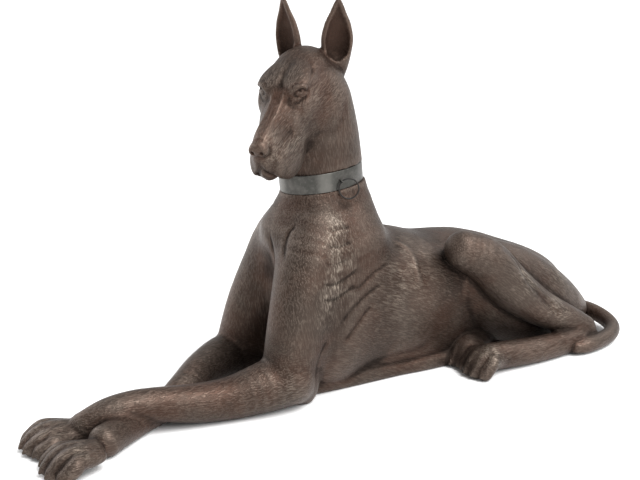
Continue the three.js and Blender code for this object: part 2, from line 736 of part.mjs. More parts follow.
// The place of least cost for a collapsed edge, or null when it lies far off the edge.
function solved(quadrics, u, v, p, q) {
  const m = (n) => quadrics[u * 10 + n] + quadrics[v * 10 + n];
  const matrix = new THREE.Matrix3().set(m(0), m(1), m(2), m(1), m(4), m(5), m(2), m(5), m(7));
  const size = Math.max(m(0), m(4), m(7));
  if (Math.abs(matrix.determinant()) < 1e-4 * size * size * size) return null;
  const place = at(-m(3), -m(6), -m(8)).applyMatrix3(matrix.invert());
  const reach = Math.hypot(p[0] - q[0], p[1] - q[1], p[2] - q[2]);
  const off = Math.hypot(place.x - (p[0] + q[0]) / 2, place.y - (p[1] + q[1]) / 2, place.z - (p[2] + q[2]) / 2);
  return off > reach ? null : [place.x, place.y, place.z];
}

// Whether the triangles round a point keep facing the same way once the point has moved.
function keepsFacing(points, faces, around, start, moved, partner, place) {
  for (let n = start[moved]; n < start[moved + 1]; n++) {
    const corners = [faces[around[n]], faces[around[n] + 1], faces[around[n] + 2]];
    if (corners.includes(partner)) continue;
    const before = planeOf(points, ...corners);
    const trial = new Float64Array(9);
    corners.forEach((c, i) => {
      for (let k = 0; k < 3; k++) trial[3 * i + k] = c === moved ? place[k] : points[3 * c + k];
    });
    const after = planeOf(trial, 0, 1, 2);
    if (before[0] * after[0] + before[1] * after[1] + before[2] * after[2] < 0.3) return false;
    if (after[3] < 0.02 * STEP) return false;
  }
  return true;
}

// Solids for joining and cutting, to and from plain triangle lists.
const wasm = await Module();
wasm.setup();

function solidOf(geometry) {
  const places = geometry.getAttribute('position');
  const corners = geometry.index ? geometry.index.array : [...Array(places.count).keys()];
  const seen = new Map();
  const points = [];
  const faces = [];
  for (const c of corners) {
    const place = [places.getX(c), places.getY(c), places.getZ(c)];
    const key = place.map((x) => Math.round(x * 1e4)).join();
    if (!seen.has(key)) {
      seen.set(key, points.length / 3);
      points.push(...place);
    }
    faces.push(seen.get(key));
  }
  const kept = [];
  for (let f = 0; f < faces.length; f += 3) {
    const [a, b, c] = faces.slice(f, f + 3);
    if (a !== b && b !== c && c !== a) kept.push(a, b, c);
  }
  return new wasm.Manifold(new wasm.Mesh({
    numProp: 3,
    vertProperties: Float32Array.from(points),
    triVerts: Uint32Array.from(kept),
  }));
}

function geometryOf(solid) {
  const mesh = solid.getMesh();
  const geometry = new THREE.BufferGeometry();
  geometry.setAttribute('position', new THREE.BufferAttribute(Float32Array.from(mesh.vertProperties), 3));
  geometry.setIndex([...mesh.triVerts]);
  return geometry;
}

// A closed band round an oval: inner and outer half sizes, from one level to another.
function ovalBand(inner, outer, bottom, top, sides) {
  const points = [];
  const faces = [];
  const walls = [[outer, bottom], [outer, top], [inner, top], [inner, bottom]];
  for (let i = 0; i < sides; i++) {
    const angle = 2 * Math.PI * i / sides;
    for (const [half, level] of walls) points.push(half[0] * Math.cos(angle), half[1] * Math.sin(angle), level);
    for (let w = 0; w < 4; w++) {
      const a = 4 * i + w;
      const b = 4 * i + (w + 1) % 4;
      const c = 4 * ((i + 1) % sides) + (w + 1) % 4;
      const d = 4 * ((i + 1) % sides) + w;
      faces.push(a, d, c, a, c, b);
    }
  }
  const geometry = new THREE.BufferGeometry();
  geometry.setAttribute('position', new THREE.BufferAttribute(Float32Array.from(points), 3));
  geometry.setIndex(faces);
  return geometry;
}

// The dog's skin, thinned with more care at the head, the paws and the tail tip.
const form = dogForm();
const fine = skin(form, at(-200, -880, -16), at(310, 790, 914), CELL);
const careAt = (x, y, z) => {
  if (z > 540) return 7;
  if (y < -690 && z < 90) return 5;
  if (x > 90 && y > 180 && y < 340 && z < 90) return 4;
  return 1;
};
const skinMesh = thin(fine, DOG_TRIANGLES, careAt);
const dogSkin = new THREE.BufferGeometry();
dogSkin.setAttribute('position', new THREE.BufferAttribute(Float32Array.from(skinMesh.points), 3));
dogSkin.setIndex([...skinMesh.faces]);
dogSkin.scale(STEP, STEP, STEP);

// Collar band, in its own tilted frame with the nape side up.
const bandPlace = new THREE.Matrix4()
  .makeTranslation(2 * STEP, -77 * STEP, 500 * STEP)
  .multiply(new THREE.Matrix4().makeRotationX(THREE.MathUtils.degToRad(BAND_TILT)));
const half = (grow) => [BAND_HALF_WIDTH + grow, BAND_HALF_LENGTH + grow];
const bandShape = ovalBand(half(-BAND_WALL), half(0), -BAND_HEIGHT / 2, BAND_HEIGHT / 2, 72);
const seatShape = ovalBand(
  half(-BAND_WALL - CLEARANCE),
  half(40),
  -BAND_HEIGHT / 2 - CLEARANCE,
  BAND_HEIGHT / 2 + CLEARANCE,
  72,
);

// Ring, hanging at the left rear of the band from a loop at its upper front.
const ringAngle = THREE.MathUtils.degToRad(6);
const ringOut = at(Math.cos(ringAngle) / BAND_HALF_WIDTH, Math.sin(ringAngle) / BAND_HALF_LENGTH, 0).normalize();
const ringAlong = new THREE.Vector3().crossVectors(UP, ringOut);
const ringCentre = at(BAND_HALF_WIDTH * Math.cos(ringAngle), BAND_HALF_LENGTH * Math.sin(ringAngle), -RING_DROP)
  .addScaledVector(ringOut, RING_STANDOFF);
const ringPlace = new THREE.Matrix4().makeBasis(ringAlong, UP, ringOut).setPosition(ringCentre);
ringPlace.multiply(new THREE.Matrix4().makeRotationY(THREE.MathUtils.degToRad(-RING_SWIVEL)));
ringPlace.multiply(new THREE.Matrix4().makeRotationX(THREE.MathUtils.degToRad(-RING_LEAN)));
const ringShape = new THREE.TorusGeometry(RING_RADIUS, RING_WIRE, 8, 32);
ringShape.applyMatrix4(ringPlace);
ringShape.applyMatrix4(bandPlace);
const roomShape = new THREE.TorusGeometry(RING_RADIUS, RING_WIRE + RING_ROOM, 8, 32);
roomShape.applyMatrix4(ringPlace);
roomShape.applyMatrix4(bandPlace);

// Loop: a small wire eye round the ring, soldered to the band.
const loopTurn = THREE.MathUtils.degToRad(128);
const loopShape = new THREE.TorusGeometry(LOOP_RADIUS, LOOP_WIRE, 8, 16);
loopShape.rotateX(Math.PI / 2);
loopShape.rotateZ(loopTurn);
loopShape.translate(RING_RADIUS * Math.cos(loopTurn), RING_RADIUS * Math.sin(loopTurn), 0.3);
loopShape.applyMatrix4(ringPlace);

// Joining and cutting.
const bandSolid = solidOf(bandShape).add(solidOf(loopShape));
const bandGeometry = geometryOf(bandSolid);
bandGeometry.applyMatrix4(bandPlace);
seatShape.applyMatrix4(bandPlace);
const floorShape = new THREE.BoxGeometry(3 * HEIGHT, 3 * HEIGHT, HEIGHT);
floorShape.translate(0, 0, UNDERSIDE_TRIM - HEIGHT / 2);
const dogSolid = solidOf(dogSkin)
  .subtract(solidOf(seatShape))
  .subtract(solidOf(floorShape))
  .subtract(solidOf(roomShape));
const dogGeometry = geometryOf(dogSolid);

// Finishes seen in the photograph.
const bronze = new THREE.MeshStandardMaterial({ color: 0x57483f, roughness: 0.55, metalness: 0.75 });
const greyMetal = new THREE.MeshStandardMaterial({ color: 0x6b6f66, roughness: 0.5, metalness: 0.8 });
const darkWire = new THREE.MeshStandardMaterial({ color: 0x1d1a18, roughness: 0.5, metalness: 0.7 });

const group = new THREE.Group();
const piece = (name, geometry, material) => {
  const mesh = new THREE.Mesh(geometry, material);
  mesh.name = name;
  group.add(mesh);
};
piece('dog_figure', dogGeometry, bronze);
piece('collar_band', bandGeometry, greyMetal);
piece('collar_ring', ringShape, darkWire);

// The part stands on the ground with the middle of its plan at the origin.
const box = new THREE.Box3().setFromObject(group);
const centre = box.getCenter(new THREE.Vector3());
for (const mesh of group.children) mesh.geometry.translate(-centre.x, -centre.y, -box.min.z);

export default group;
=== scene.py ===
# %% [markdown]
# This lesson dresses a statue: a long, smooth dog that lies with its head up, cast in brown bronze.
# The figure stands for a hollow casting, so one closed skin carries the whole animal.
# Round its neck is a flat band of grey metal, and a thin dark ring hangs from the band.
# The fixed frame comes first. It holds the sizes that everything else has to keep.

# %% Load the frame
import math

import bmesh
import bpy
import numpy as np
from mathutils import Matrix, Vector


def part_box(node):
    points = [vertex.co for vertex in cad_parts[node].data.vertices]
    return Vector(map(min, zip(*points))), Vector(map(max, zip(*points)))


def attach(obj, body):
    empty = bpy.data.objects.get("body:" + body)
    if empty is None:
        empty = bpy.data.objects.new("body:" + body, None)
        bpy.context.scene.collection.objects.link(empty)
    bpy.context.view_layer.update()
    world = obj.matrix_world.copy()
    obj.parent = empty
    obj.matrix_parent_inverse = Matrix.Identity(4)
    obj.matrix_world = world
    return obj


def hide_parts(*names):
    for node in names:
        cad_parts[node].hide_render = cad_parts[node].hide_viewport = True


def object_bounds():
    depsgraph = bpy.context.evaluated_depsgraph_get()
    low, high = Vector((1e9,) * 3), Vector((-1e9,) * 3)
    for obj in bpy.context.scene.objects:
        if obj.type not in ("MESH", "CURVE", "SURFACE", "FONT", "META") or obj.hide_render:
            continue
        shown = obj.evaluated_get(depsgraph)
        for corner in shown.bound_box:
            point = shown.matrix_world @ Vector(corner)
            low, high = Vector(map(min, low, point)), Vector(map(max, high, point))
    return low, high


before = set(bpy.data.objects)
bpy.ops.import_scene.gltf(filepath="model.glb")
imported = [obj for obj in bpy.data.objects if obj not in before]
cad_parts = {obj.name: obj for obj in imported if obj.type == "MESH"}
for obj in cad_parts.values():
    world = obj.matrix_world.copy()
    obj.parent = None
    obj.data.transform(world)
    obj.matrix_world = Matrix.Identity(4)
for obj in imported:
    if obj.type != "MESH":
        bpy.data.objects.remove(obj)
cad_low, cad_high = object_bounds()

print("pieces in the frame:", sorted(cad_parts))
print("size in metres:", [round(high - low, 3) for low, high in zip(cad_low, cad_high)])

# %% [markdown]
# The dog is laid out in millimetres on its own drawing board.
# The board's X points to the dog's left, Y towards its tail and Z up, and the ground is at zero.
# The collar band is the one plain shape on it, so its lowest corner ties the board to the frame.

# %% Drawing board
MM = 0.001
BAND_MIDDLE = np.array([2.0, -77.0, 500.0])
BAND_HALF_WIDTH = 83.0
BAND_HALF_LENGTH = 104.0
BAND_HALF_HEIGHT = 22.0
BAND_WALL = 3.5
BAND_TILT = math.radians(6)

reach_back = BAND_HALF_LENGTH * math.cos(BAND_TILT) + BAND_HALF_HEIGHT * math.sin(BAND_TILT)
reach_down = BAND_HALF_LENGTH * math.sin(BAND_TILT) + BAND_HALF_HEIGHT * math.cos(BAND_TILT)
band_corner = BAND_MIDDLE - np.array([BAND_HALF_WIDTH, reach_back, reach_down])
board_origin = band_corner - np.array(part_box("collar_band")[0]) / MM


def to_row(points):
    """Millimetres on the drawing board become metres in the frame."""
    return (np.asarray(points, float) - board_origin) * MM


print("board origin in mm:", board_origin.round(1))

# %% [markdown]
# The camera stands where the photographer stood: in front, to the dog's left and a little above it.
# A long lens keeps the near paws from looking too large.

# %% Camera
TURN = math.radians(57)
RISE = math.radians(16)
LENS = 61.875
CAMERA_PLACE = np.array([2111.0, -1449.0, 1060.0])

right = Vector((math.cos(TURN), math.sin(TURN), 0))
back = Vector((math.sin(TURN) * math.cos(RISE), -math.cos(TURN) * math.cos(RISE), math.sin(RISE)))
up = back.cross(right)
camera = bpy.data.objects.new("camera", bpy.data.cameras.new("camera"))
camera.data.lens = LENS
camera.matrix_world = Matrix((right, up, back)).transposed().to_4x4()
camera.location = Vector(to_row(CAMERA_PLACE))
bpy.context.scene.collection.objects.link(camera)
bpy.context.scene.camera = camera
print("camera at", [round(c, 3) for c in camera.location])

# %% [markdown]
# A smooth animal could be modelled by pushing points about, or with a few thousand control points.
# Here it is built like clay on a wire: each muscle or bone is a simple solid described by a distance.
# A distance is negative inside, zero on the skin and positive outside.
# Two distances melt together when the smaller one is taken with a soft corner.
# So the joints between muscles never need sewing.
# The first solid is an egg, and the second is a rope of balls that get thicker and thinner.

# %% Solids by distance
F32 = np.float32
FAR = 1e6
TINY = 1e-9


def unit(direction):
    direction = np.asarray(direction, float)
    return direction / np.linalg.norm(direction)


def egg(middle, half, axes=np.eye(3)):
    """An ellipsoid; the rows of axes are its own directions."""
    middle, half, axes = (np.asarray(v, F32) for v in (middle, half, axes))

    def distance(points):
        local = (points - middle) @ axes.T
        near = np.sqrt(((local / half) ** 2).sum(1))
        slope = np.sqrt(((local / half ** 2) ** 2).sum(1))
        return near * (near - 1) / np.maximum(slope, TINY)

    return distance, middle, float(half.max())


def smooth_path(stations, pieces):
    """A soft curve through the stations, cut into pieces between each two."""
    p = np.asarray(stations, float)
    p = np.vstack([2 * p[0] - p[1], p, 2 * p[-1] - p[-2]])
    path = []
    for i in range(1, len(p) - 2):
        for t in np.arange(pieces) / pieces:
            path.append(0.5 * (
                2 * p[i] + (p[i + 1] - p[i - 1]) * t
                + (2 * p[i - 1] - 5 * p[i] + 4 * p[i + 1] - p[i + 2]) * t ** 2
                + (3 * p[i] - 3 * p[i + 1] + p[i + 2] - p[i - 1]) * t ** 3
            ))
    path.append(p[-2])
    return np.array(path, F32)


def to_segment(points, start, end):
    """How far points lie from a straight piece, and how far along it."""
    along = end - start
    t = np.clip(((points - start) @ along) / max(float(along @ along), TINY), 0, 1)
    return np.sqrt(((points - start - t[:, None] * along) ** 2).sum(1)), t


def rope(stations, pieces=4):
    """A round limb; each station is x, y, z and radius."""
    path = smooth_path(stations, pieces)
    places, radii = path[:, :3], path[:, 3]

    def distance(points):
        best = np.full(len(points), FAR, F32)
        for i in range(len(places) - 1):
            gap, t = to_segment(points, places[i], places[i + 1])
            best = np.minimum(best, gap - radii[i] - (radii[i + 1] - radii[i]) * t)
        return best

    middle = (places.min(0) + places.max(0)) / 2
    return distance, middle, float(np.linalg.norm(places - middle, axis=1).max() + radii.max())


limb_example = rope([[0, 0, 0, 10], [0, 50, 0, 6]])
print("a rope of balls, 20 mm off its start:", limb_example[0](np.array([[20, 0, 0]], F32)).round(1))

# %% [markdown]
# A trunk, a neck or a muzzle isn't round. It is drawn as a row of sections along a straight line.
# Each section says where it stands, its half width, its top, its widest level and its bottom.
# The last number says how square it is: 2 is an ellipse, and 3 is nearly a box with soft corners.

# %% Solids by sections
TABLE_STEPS = 241
REACH_SPARE = 20
SMALL_SHARE = 1e-4


def station_table(places, values):
    """A curve through the stations that never overshoots them."""
    steps = np.diff(values) / np.diff(places)
    slope = np.concatenate([steps[:1], np.zeros(len(places) - 2), steps[-1:]])
    for i in range(1, len(places) - 1):
        before, after = steps[i - 1], steps[i]
        if before * after > 0:
            slope[i] = 2 * before * after / (before + after)
    x = np.linspace(places[0], places[-1], TABLE_STEPS)
    j = np.clip(np.searchsorted(places, x, side="right") - 1, 0, len(places) - 2)
    h = places[j + 1] - places[j]
    t = (x - places[j]) / h
    y = (2 * t ** 3 - 3 * t ** 2 + 1) * values[j] + (t ** 3 - 2 * t ** 2 + t) * h * slope[j]
    y += (3 * t ** 2 - 2 * t ** 3) * values[j + 1] + (t ** 3 - t ** 2) * h * slope[j + 1]
    return x, y


def sections(origin, along, upward, stations):
    """A body of egg sections that stand across a straight line."""
    rows = np.asarray(stations, float)
    along = unit(along)
    upward = unit(np.asarray(upward, float) - np.dot(upward, along) * along)
    origin, along, upward = (np.asarray(v, F32) for v in (origin, along, upward))
    sideways = np.cross(along, upward)
    tables = [station_table(rows[:, 0], rows[:, i]) for i in range(1, 6)]
    first, last = rows[0, 0], rows[-1, 0]

    def distance(points):
        local = points - origin
        t = local @ along
        inside = np.clip(t, first, last)
        width, top, level, bottom, square = (np.interp(inside, *table).astype(F32) for table in tables)
        across, height = local @ sideways, local @ upward - level
        half = np.maximum(np.where(height > 0, top - level, level - bottom), 1)
        width = np.maximum(width, 1)
        share = ((np.abs(across) / width) ** square + (np.abs(height) / half) ** square) ** (1 / square)
        gap = np.hypot(across, height) * (1 - 1 / np.maximum(share, SMALL_SHARE))
        gap = np.where(share > SMALL_SHARE, gap, -np.minimum(width, half))
        beyond = np.abs(t - inside)
        return np.where(beyond > 0, np.hypot(np.maximum(gap, 0), beyond), gap)

    middle = origin + along * F32((first + last) / 2) + upward * F32(rows[:, 3].mean())
    # A section's middle isn't at half its height, so two thirds of the height are counted.
    widest = max(rows[:, 1].max(), (rows[:, 2] - rows[:, 4]).max() * 2 / 3)
    reach = math.hypot((last - first) / 2, widest) + REACH_SPARE
    return distance, middle, reach


print("each body is looked up in", TABLE_STEPS, "steps")

# %% [markdown]
# The form collects the solids in order. Adding melts a solid on, and cutting takes one away.
# Pressing pushes a soft line into the skin, or lifts a thin roll where the depth is below zero.
# Only the points near a solid are asked about it, which keeps the sum quick.
# A pressed line fades out over its first and last sixth, so it has no blunt ends.

# %% Melting solids together
CARE = 40.0
LINE_PIECES = 5
LINE_ENDS = 6
FAR_AWAY = 1000


def line(stations, width, depth):
    """A soft line along the skin: how much the distance changes near it."""
    path = smooth_path(stations, LINE_PIECES)

    def distance(points):
        best = np.full(len(points), FAR, F32)
        fade = np.zeros(len(points), F32)
        for i in range(len(path) - 1):
            gap, t = to_segment(points, path[i], path[i + 1])
            place = (i + t) / (len(path) - 1)
            closer = gap < best
            best = np.where(closer, gap, best)
            fade = np.where(closer, np.clip(np.minimum(place, 1 - place) * LINE_ENDS, 0, 1), fade)
        return depth * fade * np.exp(-(best / width) ** 2)

    middle = (path.min(0) + path.max(0)) / 2
    return distance, middle, float(np.linalg.norm(path - middle, axis=1).max() + 3 * width - CARE)


class Clay:
    """The growing form: a list of solids that are melted, cut or pressed in turn."""

    def __init__(self):
        self.steps = []

    def melt(self, solid, softness):
        self.steps.append(("melt", solid, softness))

    def cut(self, solid, softness):
        self.steps.append(("cut", solid, softness))

    def press(self, stations, width, depth):
        self.steps.append(("press", line(stations, width, depth), 0))

    def distance(self, points):
        points = points.astype(F32)
        result = np.full(len(points), FAR_AWAY, F32)
        for kind, (solid, middle, reach), softness in self.steps:
            span = ((points - middle) ** 2).sum(1)
            near = np.nonzero(span < (reach + CARE + softness) ** 2)[0]
            if len(near) == 0:
                continue
            value, old = solid(points[near]), result[near]
            if kind == "press":
                result[near] = old + value
                continue
            if kind == "cut":
                value = -value
            corner = np.maximum(softness - np.abs(old - value), 0) ** 2 / (4 * softness)
            if kind == "melt":
                result[near] = np.minimum(old, value) - corner
            else:
                result[near] = np.maximum(old, value) + corner
        return result


clay = Clay()
UP = np.array([0.0, 0.0, 1.0])
TAILWARD = np.array([0.0, 1.0, 0.0])
print("an empty lump of clay")

# %% [markdown]
# The trunk lies level, with a deep chest, a back that falls towards the tail and a rounded rump.
# The chest and the ribs are eggs melted on, so the brisket bulges over the ground.

# %% Trunk
clay.melt(sections((0, 0, 0), TAILWARD, UP, [
    (-150, 108, 300, 190, -46, 2.3), (-90, 126, 350, 200, -46, 2.3), (-20, 138, 354, 195, -46, 2.4),
    (60, 148, 332, 180, -46, 2.4), (150, 152, 324, 172, -60, 2.4), (210, 150, 317, 170, -80, 2.3),
    (330, 136, 306, 165, -60, 2.2), (410, 128, 286, 155, -40, 2.2), (490, 124, 256, 140, -30, 2.2),
    (580, 116, 220, 115, -20, 2.2), (645, 98, 184, 90, -12, 2.1), (695, 70, 136, 70, -4, 2.0),
    (725, 40, 100, 54, 14, 2.0), (738, 16, 76, 52, 30, 2.0),
]), 10)
clay.melt(egg((0, -100, 235), (98, 108, 165)), 40)
clay.melt(egg((0, -118, 70), (112, 84, 96)), 30)
for side in (1, -1):
    clay.melt(egg((side * 34, 60, 190), (122, 190, 150)), 40)
print("steps for the trunk:", len(clay.steps))

# %% [markdown]
# The neck is long and upright, and it flares into the shoulders and the chest.
# Its line leans a little forward, so the nape runs in one sweep from the ears to the back.

# %% Neck
NECK_FOOT = (0, 0, 300)
NECK_LINE = (0.02, -0.227, 0.974)
clay.melt(sections(NECK_FOOT, NECK_LINE, TAILWARD, [
    (-40, 104, 96, -30, -176, 2.2), (20, 128, 92, -40, -190, 2.3), (60, 140, 80, -40, -202, 2.3),
    (100, 124, 74, -30, -208, 2.2), (135, 108, 71, -25, -201, 2.2), (160, 94, 71, -22, -178, 2.1),
    (193, 82, 72, -22, -142, 2.1), (240, 78, 76, -20, -118, 2.1), (310, 76, 80, -16, -104, 2.1),
    (380, 72, 78, -14, -100, 2.1), (430, 62, 68, -14, -92, 2.0), (456, 44, 46, -12, -74, 2.0),
    (470, 20, 16, -12, -40, 2.0),
]), 30)
print("steps with the neck:", len(clay.steps))

# %% [markdown]
# Each foreleg starts in a broad shoulder and an upper arm that stands almost upright.
# The elbows rest on the ground. From there the forelegs run forward, and the left one crosses over.

# %% Shoulders and forelegs
SHOULDERS = {1: ((90, -172, 318), (124, -246, 78)), -1: ((-86, -140, 305), (-112, -240, 62))}
for side, (joint, elbow) in SHOULDERS.items():
    joint, elbow = np.array(joint, float), np.array(elbow, float)
    middle = (joint + elbow) / 2 + (side * 8, -6, 0)
    clay.melt(egg((side * 92, -78, 285), (58, 110, 120)), 50)
    clay.melt(egg((side * 100, -110, 150), (58, 112, 125)), 50)
    clay.melt(rope([
        (*(joint + (-side * 12, 34, 70)), 50), (*joint, 68), (*middle, 66), (*elbow, 60),
    ]), 44)
    clay.melt(egg(elbow + (0, 38, -40), (34, 38, 46)), 24)
clay.melt(rope([
    (124, -246, 66, 62), (120, -300, 58, 58), (108, -385, 46, 48), (92, -470, 48, 43),
    (76, -545, 58, 38), (66, -600, 61, 37), (59, -656, 55, 36), (50, -708, 38, 31),
]), 12)
clay.melt(rope([
    (-110, -240, 54, 54), (-92, -300, 55, 53), (-48, -378, 53, 45), (4, -448, 45, 39),
    (44, -522, 31, 31), (70, -585, 28, 30), (97, -640, 30, 33), (128, -692, 32, 35),
]), 12)
# The edge of the belly rests on the ground as a low roll.
clay.melt(rope([
    (94, -170, 20, 24), (98, -100, 18, 25), (104, 0, 18, 25),
    (109, 80, 18, 25), (118, 150, 18, 25), (124, 210, 18, 23),
]), 8)
print("steps with the forelegs:", len(clay.steps))

# %% [markdown]
# The dog lies on its right hip, so both hind legs fold out on its left side.
# The knee stands high, the shank slants down to the hock, and the foot runs forward along the ground.
# The tail leaves the rump low and curls round to the hock.

# %% Hind legs and tail
clay.melt(sections((112, 460, 0), TAILWARD, UP, [
    (-200, 34, 292, 230, 150, 2.0), (-120, 66, 300, 190, 60, 2.1), (-20, 78, 274, 150, 10, 2.2),
    (80, 78, 220, 120, 5, 2.2), (160, 67, 160, 80, 5, 2.1), (225, 36, 98, 60, 20, 2.0),
    (250, 8, 70, 55, 40, 2.0),
]), 26)
clay.melt(rope([
    (146, 244, 298, 47), (160, 306, 262, 57), (176, 372, 190, 57),
    (192, 460, 124, 47), (208, 545, 78, 39), (221, 598, 50, 32),
]), 8)
clay.melt(rope([
    (226, 604, 34, 27), (232, 560, 33, 32), (237, 480, 30, 32),
    (236, 400, 32, 33), (229, 320, 36, 34), (226, 282, 38, 34),
]), 10)
clay.melt(rope([(40, 430, 35, 32), (100, 340, 34, 32), (140, 270, 38, 34)]), 10)
clay.melt(rope([
    (20, 668, 44, 32), (60, 708, 41, 25), (116, 732, 39, 22), (172, 731, 33, 21), (218, 711, 27, 20),
    (249, 668, 24, 20), (263, 616, 22, 20), (268, 566, 22, 20), (265, 536, 20, 16),
]), 10)
print("steps with the hind legs:", len(clay.steps))

# %% [markdown]
# A paw is a flat pad with four toes, and each toe is a short rope that arches over its knuckle.
# A claw is a smaller rope at the tip. One function makes all four paws, from shares of their size.
# The hind paws are softer between the toes, because little of them is carved free.

# %% Paws
TOES = 4
OUTER_TOE = (TOES - 1) / 2
TIP_HEIGHT = 16


def paw(middle, ahead, length, width, toe, drops, softness=9):
    """A pad with toes and claws; drops lower the toes, and softness fills between them."""
    middle = np.array(middle, float)
    ahead = unit((ahead[0], ahead[1], 0))
    left = np.array([-ahead[1], ahead[0], 0])
    clay.melt(egg(middle, (length * 0.42, width * 0.42, 25), (ahead, left, UP)), 14)
    for number, drop in enumerate(drops):
        share = (number - OUTER_TOE) / OUTER_TOE
        reach = length * (0.60 - 0.12 * share ** 2)
        out = width * 0.40 * share
        root = middle + left * out * 0.62 - ahead * length * 0.28 + UP * (6 - drop)
        knuckle = middle + left * out * 0.95 + ahead * length * 0.14 + UP * (11 - drop)
        joint = middle + left * out * 1.08 + ahead * (reach - 20) + UP * (3 - drop * 0.7)
        tip = middle + left * out * 1.10 + ahead * reach
        tip[2] = TIP_HEIGHT
        clay.melt(rope([
            (*root, toe * 0.85), (*knuckle, toe), (*joint, toe * 1.08), (*tip, toe),
        ], 3), softness)
        claw = tip + ahead * toe * 0.8 + UP * 3
        point = tip + ahead * toe * 1.1 - UP * 5
        clay.melt(rope([(*claw, 5), (*point, 3.5)], 1), 2)


paw((38, -757, 28), (-0.03, -1), 110, 92, 16.5, (2, 0, 6, 12))
paw((160, -758, 31), (0.05, -1), 108, 100, 17, (8, 0, 0, 6))
paw((226, 270, 38), (0.05, -1), 92, 80, 16, (6, 0, 0, 6), 10)
paw((150, 272, 38), (0.25, -1), 84, 74, 15, (6, 0, 0, 6), 10)
print("steps with the paws:", len(clay.steps))

# %% [markdown]
# The head is drawn on its own axes: forward along the muzzle, to the left, and up through the brow.
# It looks 34 degrees to the dog's left and droops 28 degrees, so turning it needs only two numbers.

# %% Head axes
HEAD_TURN = math.radians(34)
HEAD_DROOP = math.radians(28)
BROW = np.array([51.0, -214.0, 716.0])

level_ahead = np.array([math.sin(HEAD_TURN), -math.cos(HEAD_TURN), 0])
head_ahead = math.cos(HEAD_DROOP) * level_ahead - math.sin(HEAD_DROOP) * UP
head_up = math.sin(HEAD_DROOP) * level_ahead + math.cos(HEAD_DROOP) * UP
head_left = np.array([math.cos(HEAD_TURN), math.sin(HEAD_TURN), 0])
HEAD_AXES = np.array([head_ahead, head_left, head_up])


def on_head(forward, left, upward):
    """A place on the head, measured from the middle of the brow."""
    return BROW + head_ahead * forward + head_left * left + head_up * upward


def head_egg(place, half):
    return egg(on_head(*place), half, HEAD_AXES)


def head_line(places, width, depth):
    clay.press([on_head(*place) for place in places], width, depth)


print("the nose tip stands at", on_head(170, 0, -50).round())

# %% [markdown]
# One row of sections makes the skull, the stop and the long square muzzle.
# Cheeks, cheekbones, brows and hanging lips are eggs on each side.
# The eyeballs sit in cut sockets, and each has a dimple for its pupil.

# %% Skull, muzzle and eyes
clay.melt(sections(BROW, head_ahead, head_up, [
    (-176, 34, -14, -44, -84, 2.2), (-160, 50, 2, -46, -112, 2.3), (-118, 65, 17, -52, -146, 2.6),
    (-62, 68, 20, -58, -154, 2.7), (-24, 62, 15, -62, -153, 2.8), (4, 53, 3, -68, -152, 2.8),
    (30, 44, -9, -92, -152, 2.2), (80, 40, -18, -104, -150, 2.1), (118, 36, -22, -108, -144, 2.2),
    (138, 30, -28, -104, -136, 2.2),
]), 18)
clay.melt(head_egg((-140, 0, -62), (48, 54, 62)), 24)
clay.melt(head_egg((128, 0, -92), (40, 32, 50)), 12)
for side in (1, -1):
    clay.melt(head_egg((-62, side * 44, -98), (66, 30, 62)), 20)
    clay.melt(head_egg((4, 40 if side > 0 else -33, -78), (56, 18, 44)), 24)
    clay.melt(head_egg((-36, side * 50, -40), (46, 14, 26)), 24)
    clay.melt(head_egg((-20, side * 36, 5), (30, 20, 6)), 24)
    clay.cut(head_egg((13, side * 52, -7), (16, 9, 12)), 12)
    clay.melt(head_egg((-8, side * 37, -8), (17, 17, 15)), 2)
    clay.cut(head_egg((3, side * 48, -1), (4, 4, 4)), 1)
    clay.melt(head_egg((90, 31 if side > 0 else -26, -110), (66, 17, 40)), 14)
    clay.melt(head_egg((78, 36 if side > 0 else -31, -134), (54, 13, 30)), 14)
print("steps with the skull:", len(clay.steps))

# %% [markdown]
# The ears are cropped and stand up like leaves. Each is a thin tapering body of sections.
# A narrower body cut from its front leaves the cup. The two open by different turns,
# and a number of its own makes each a little broader than the drawn sections.

# %% Ears
EAR_ROOT_AHEAD, EAR_ROOT_UP = -166, -58
EARS = {1: (60, 32, 1.08), -1: (-52, 24, 1.12)}
for side, (root_left, open_turn, breadth) in EARS.items():
    lean = unit(-0.36 * head_ahead + 0.92 * head_up + 0.08 * side * head_left)
    turn = math.radians(open_turn)
    facing = math.cos(turn) * level_ahead + side * math.sin(turn) * head_left
    root = on_head(EAR_ROOT_AHEAD, root_left, EAR_ROOT_UP)
    clay.melt(sections(root, lean, facing, [
        (-24, 16 * breadth, 8, 0, -18, 2.0), (0, 24 * breadth, 18, 0, -26, 2.0),
        (34, 31 * breadth, 22, 0, -22, 2.0), (66, 34.5 * breadth, 18, 0, -18, 2.0),
        (100, 29 * breadth, 12, 0, -14, 2.0), (130, 18.5, 7, 0, -9, 2.0),
        (152, 9, 4, 0, -6, 2.0), (163, 2, 2, 0, -2, 2.0),
    ]), 12)
    clay.cut(sections(root, lean, facing, [
        (22, 5, 26, 16, 8, 2.0), (38, 23 * breadth, 50, 20, -8, 2.0),
        (66, 28 * breadth, 50, 18, -8, 2.0), (100, 22.5 * breadth, 40, 14, -4, 2.0),
        (130, 11, 30, 10, 0, 2.0), (150, 4, 20, 8, 3, 2.0),
    ]), 4)
print("steps with the ears:", len(clay.steps))

# %% [markdown]
# The nose has two round wings with nostrils, and the chin shows between the hanging lips.
# Thin rolls make the eyelids and the edges of the bridge.
# Soft lines make the mouth, the tear lines and the furrow of the brow.
# Each row below holds a line's places on the left half, its width and its depth.

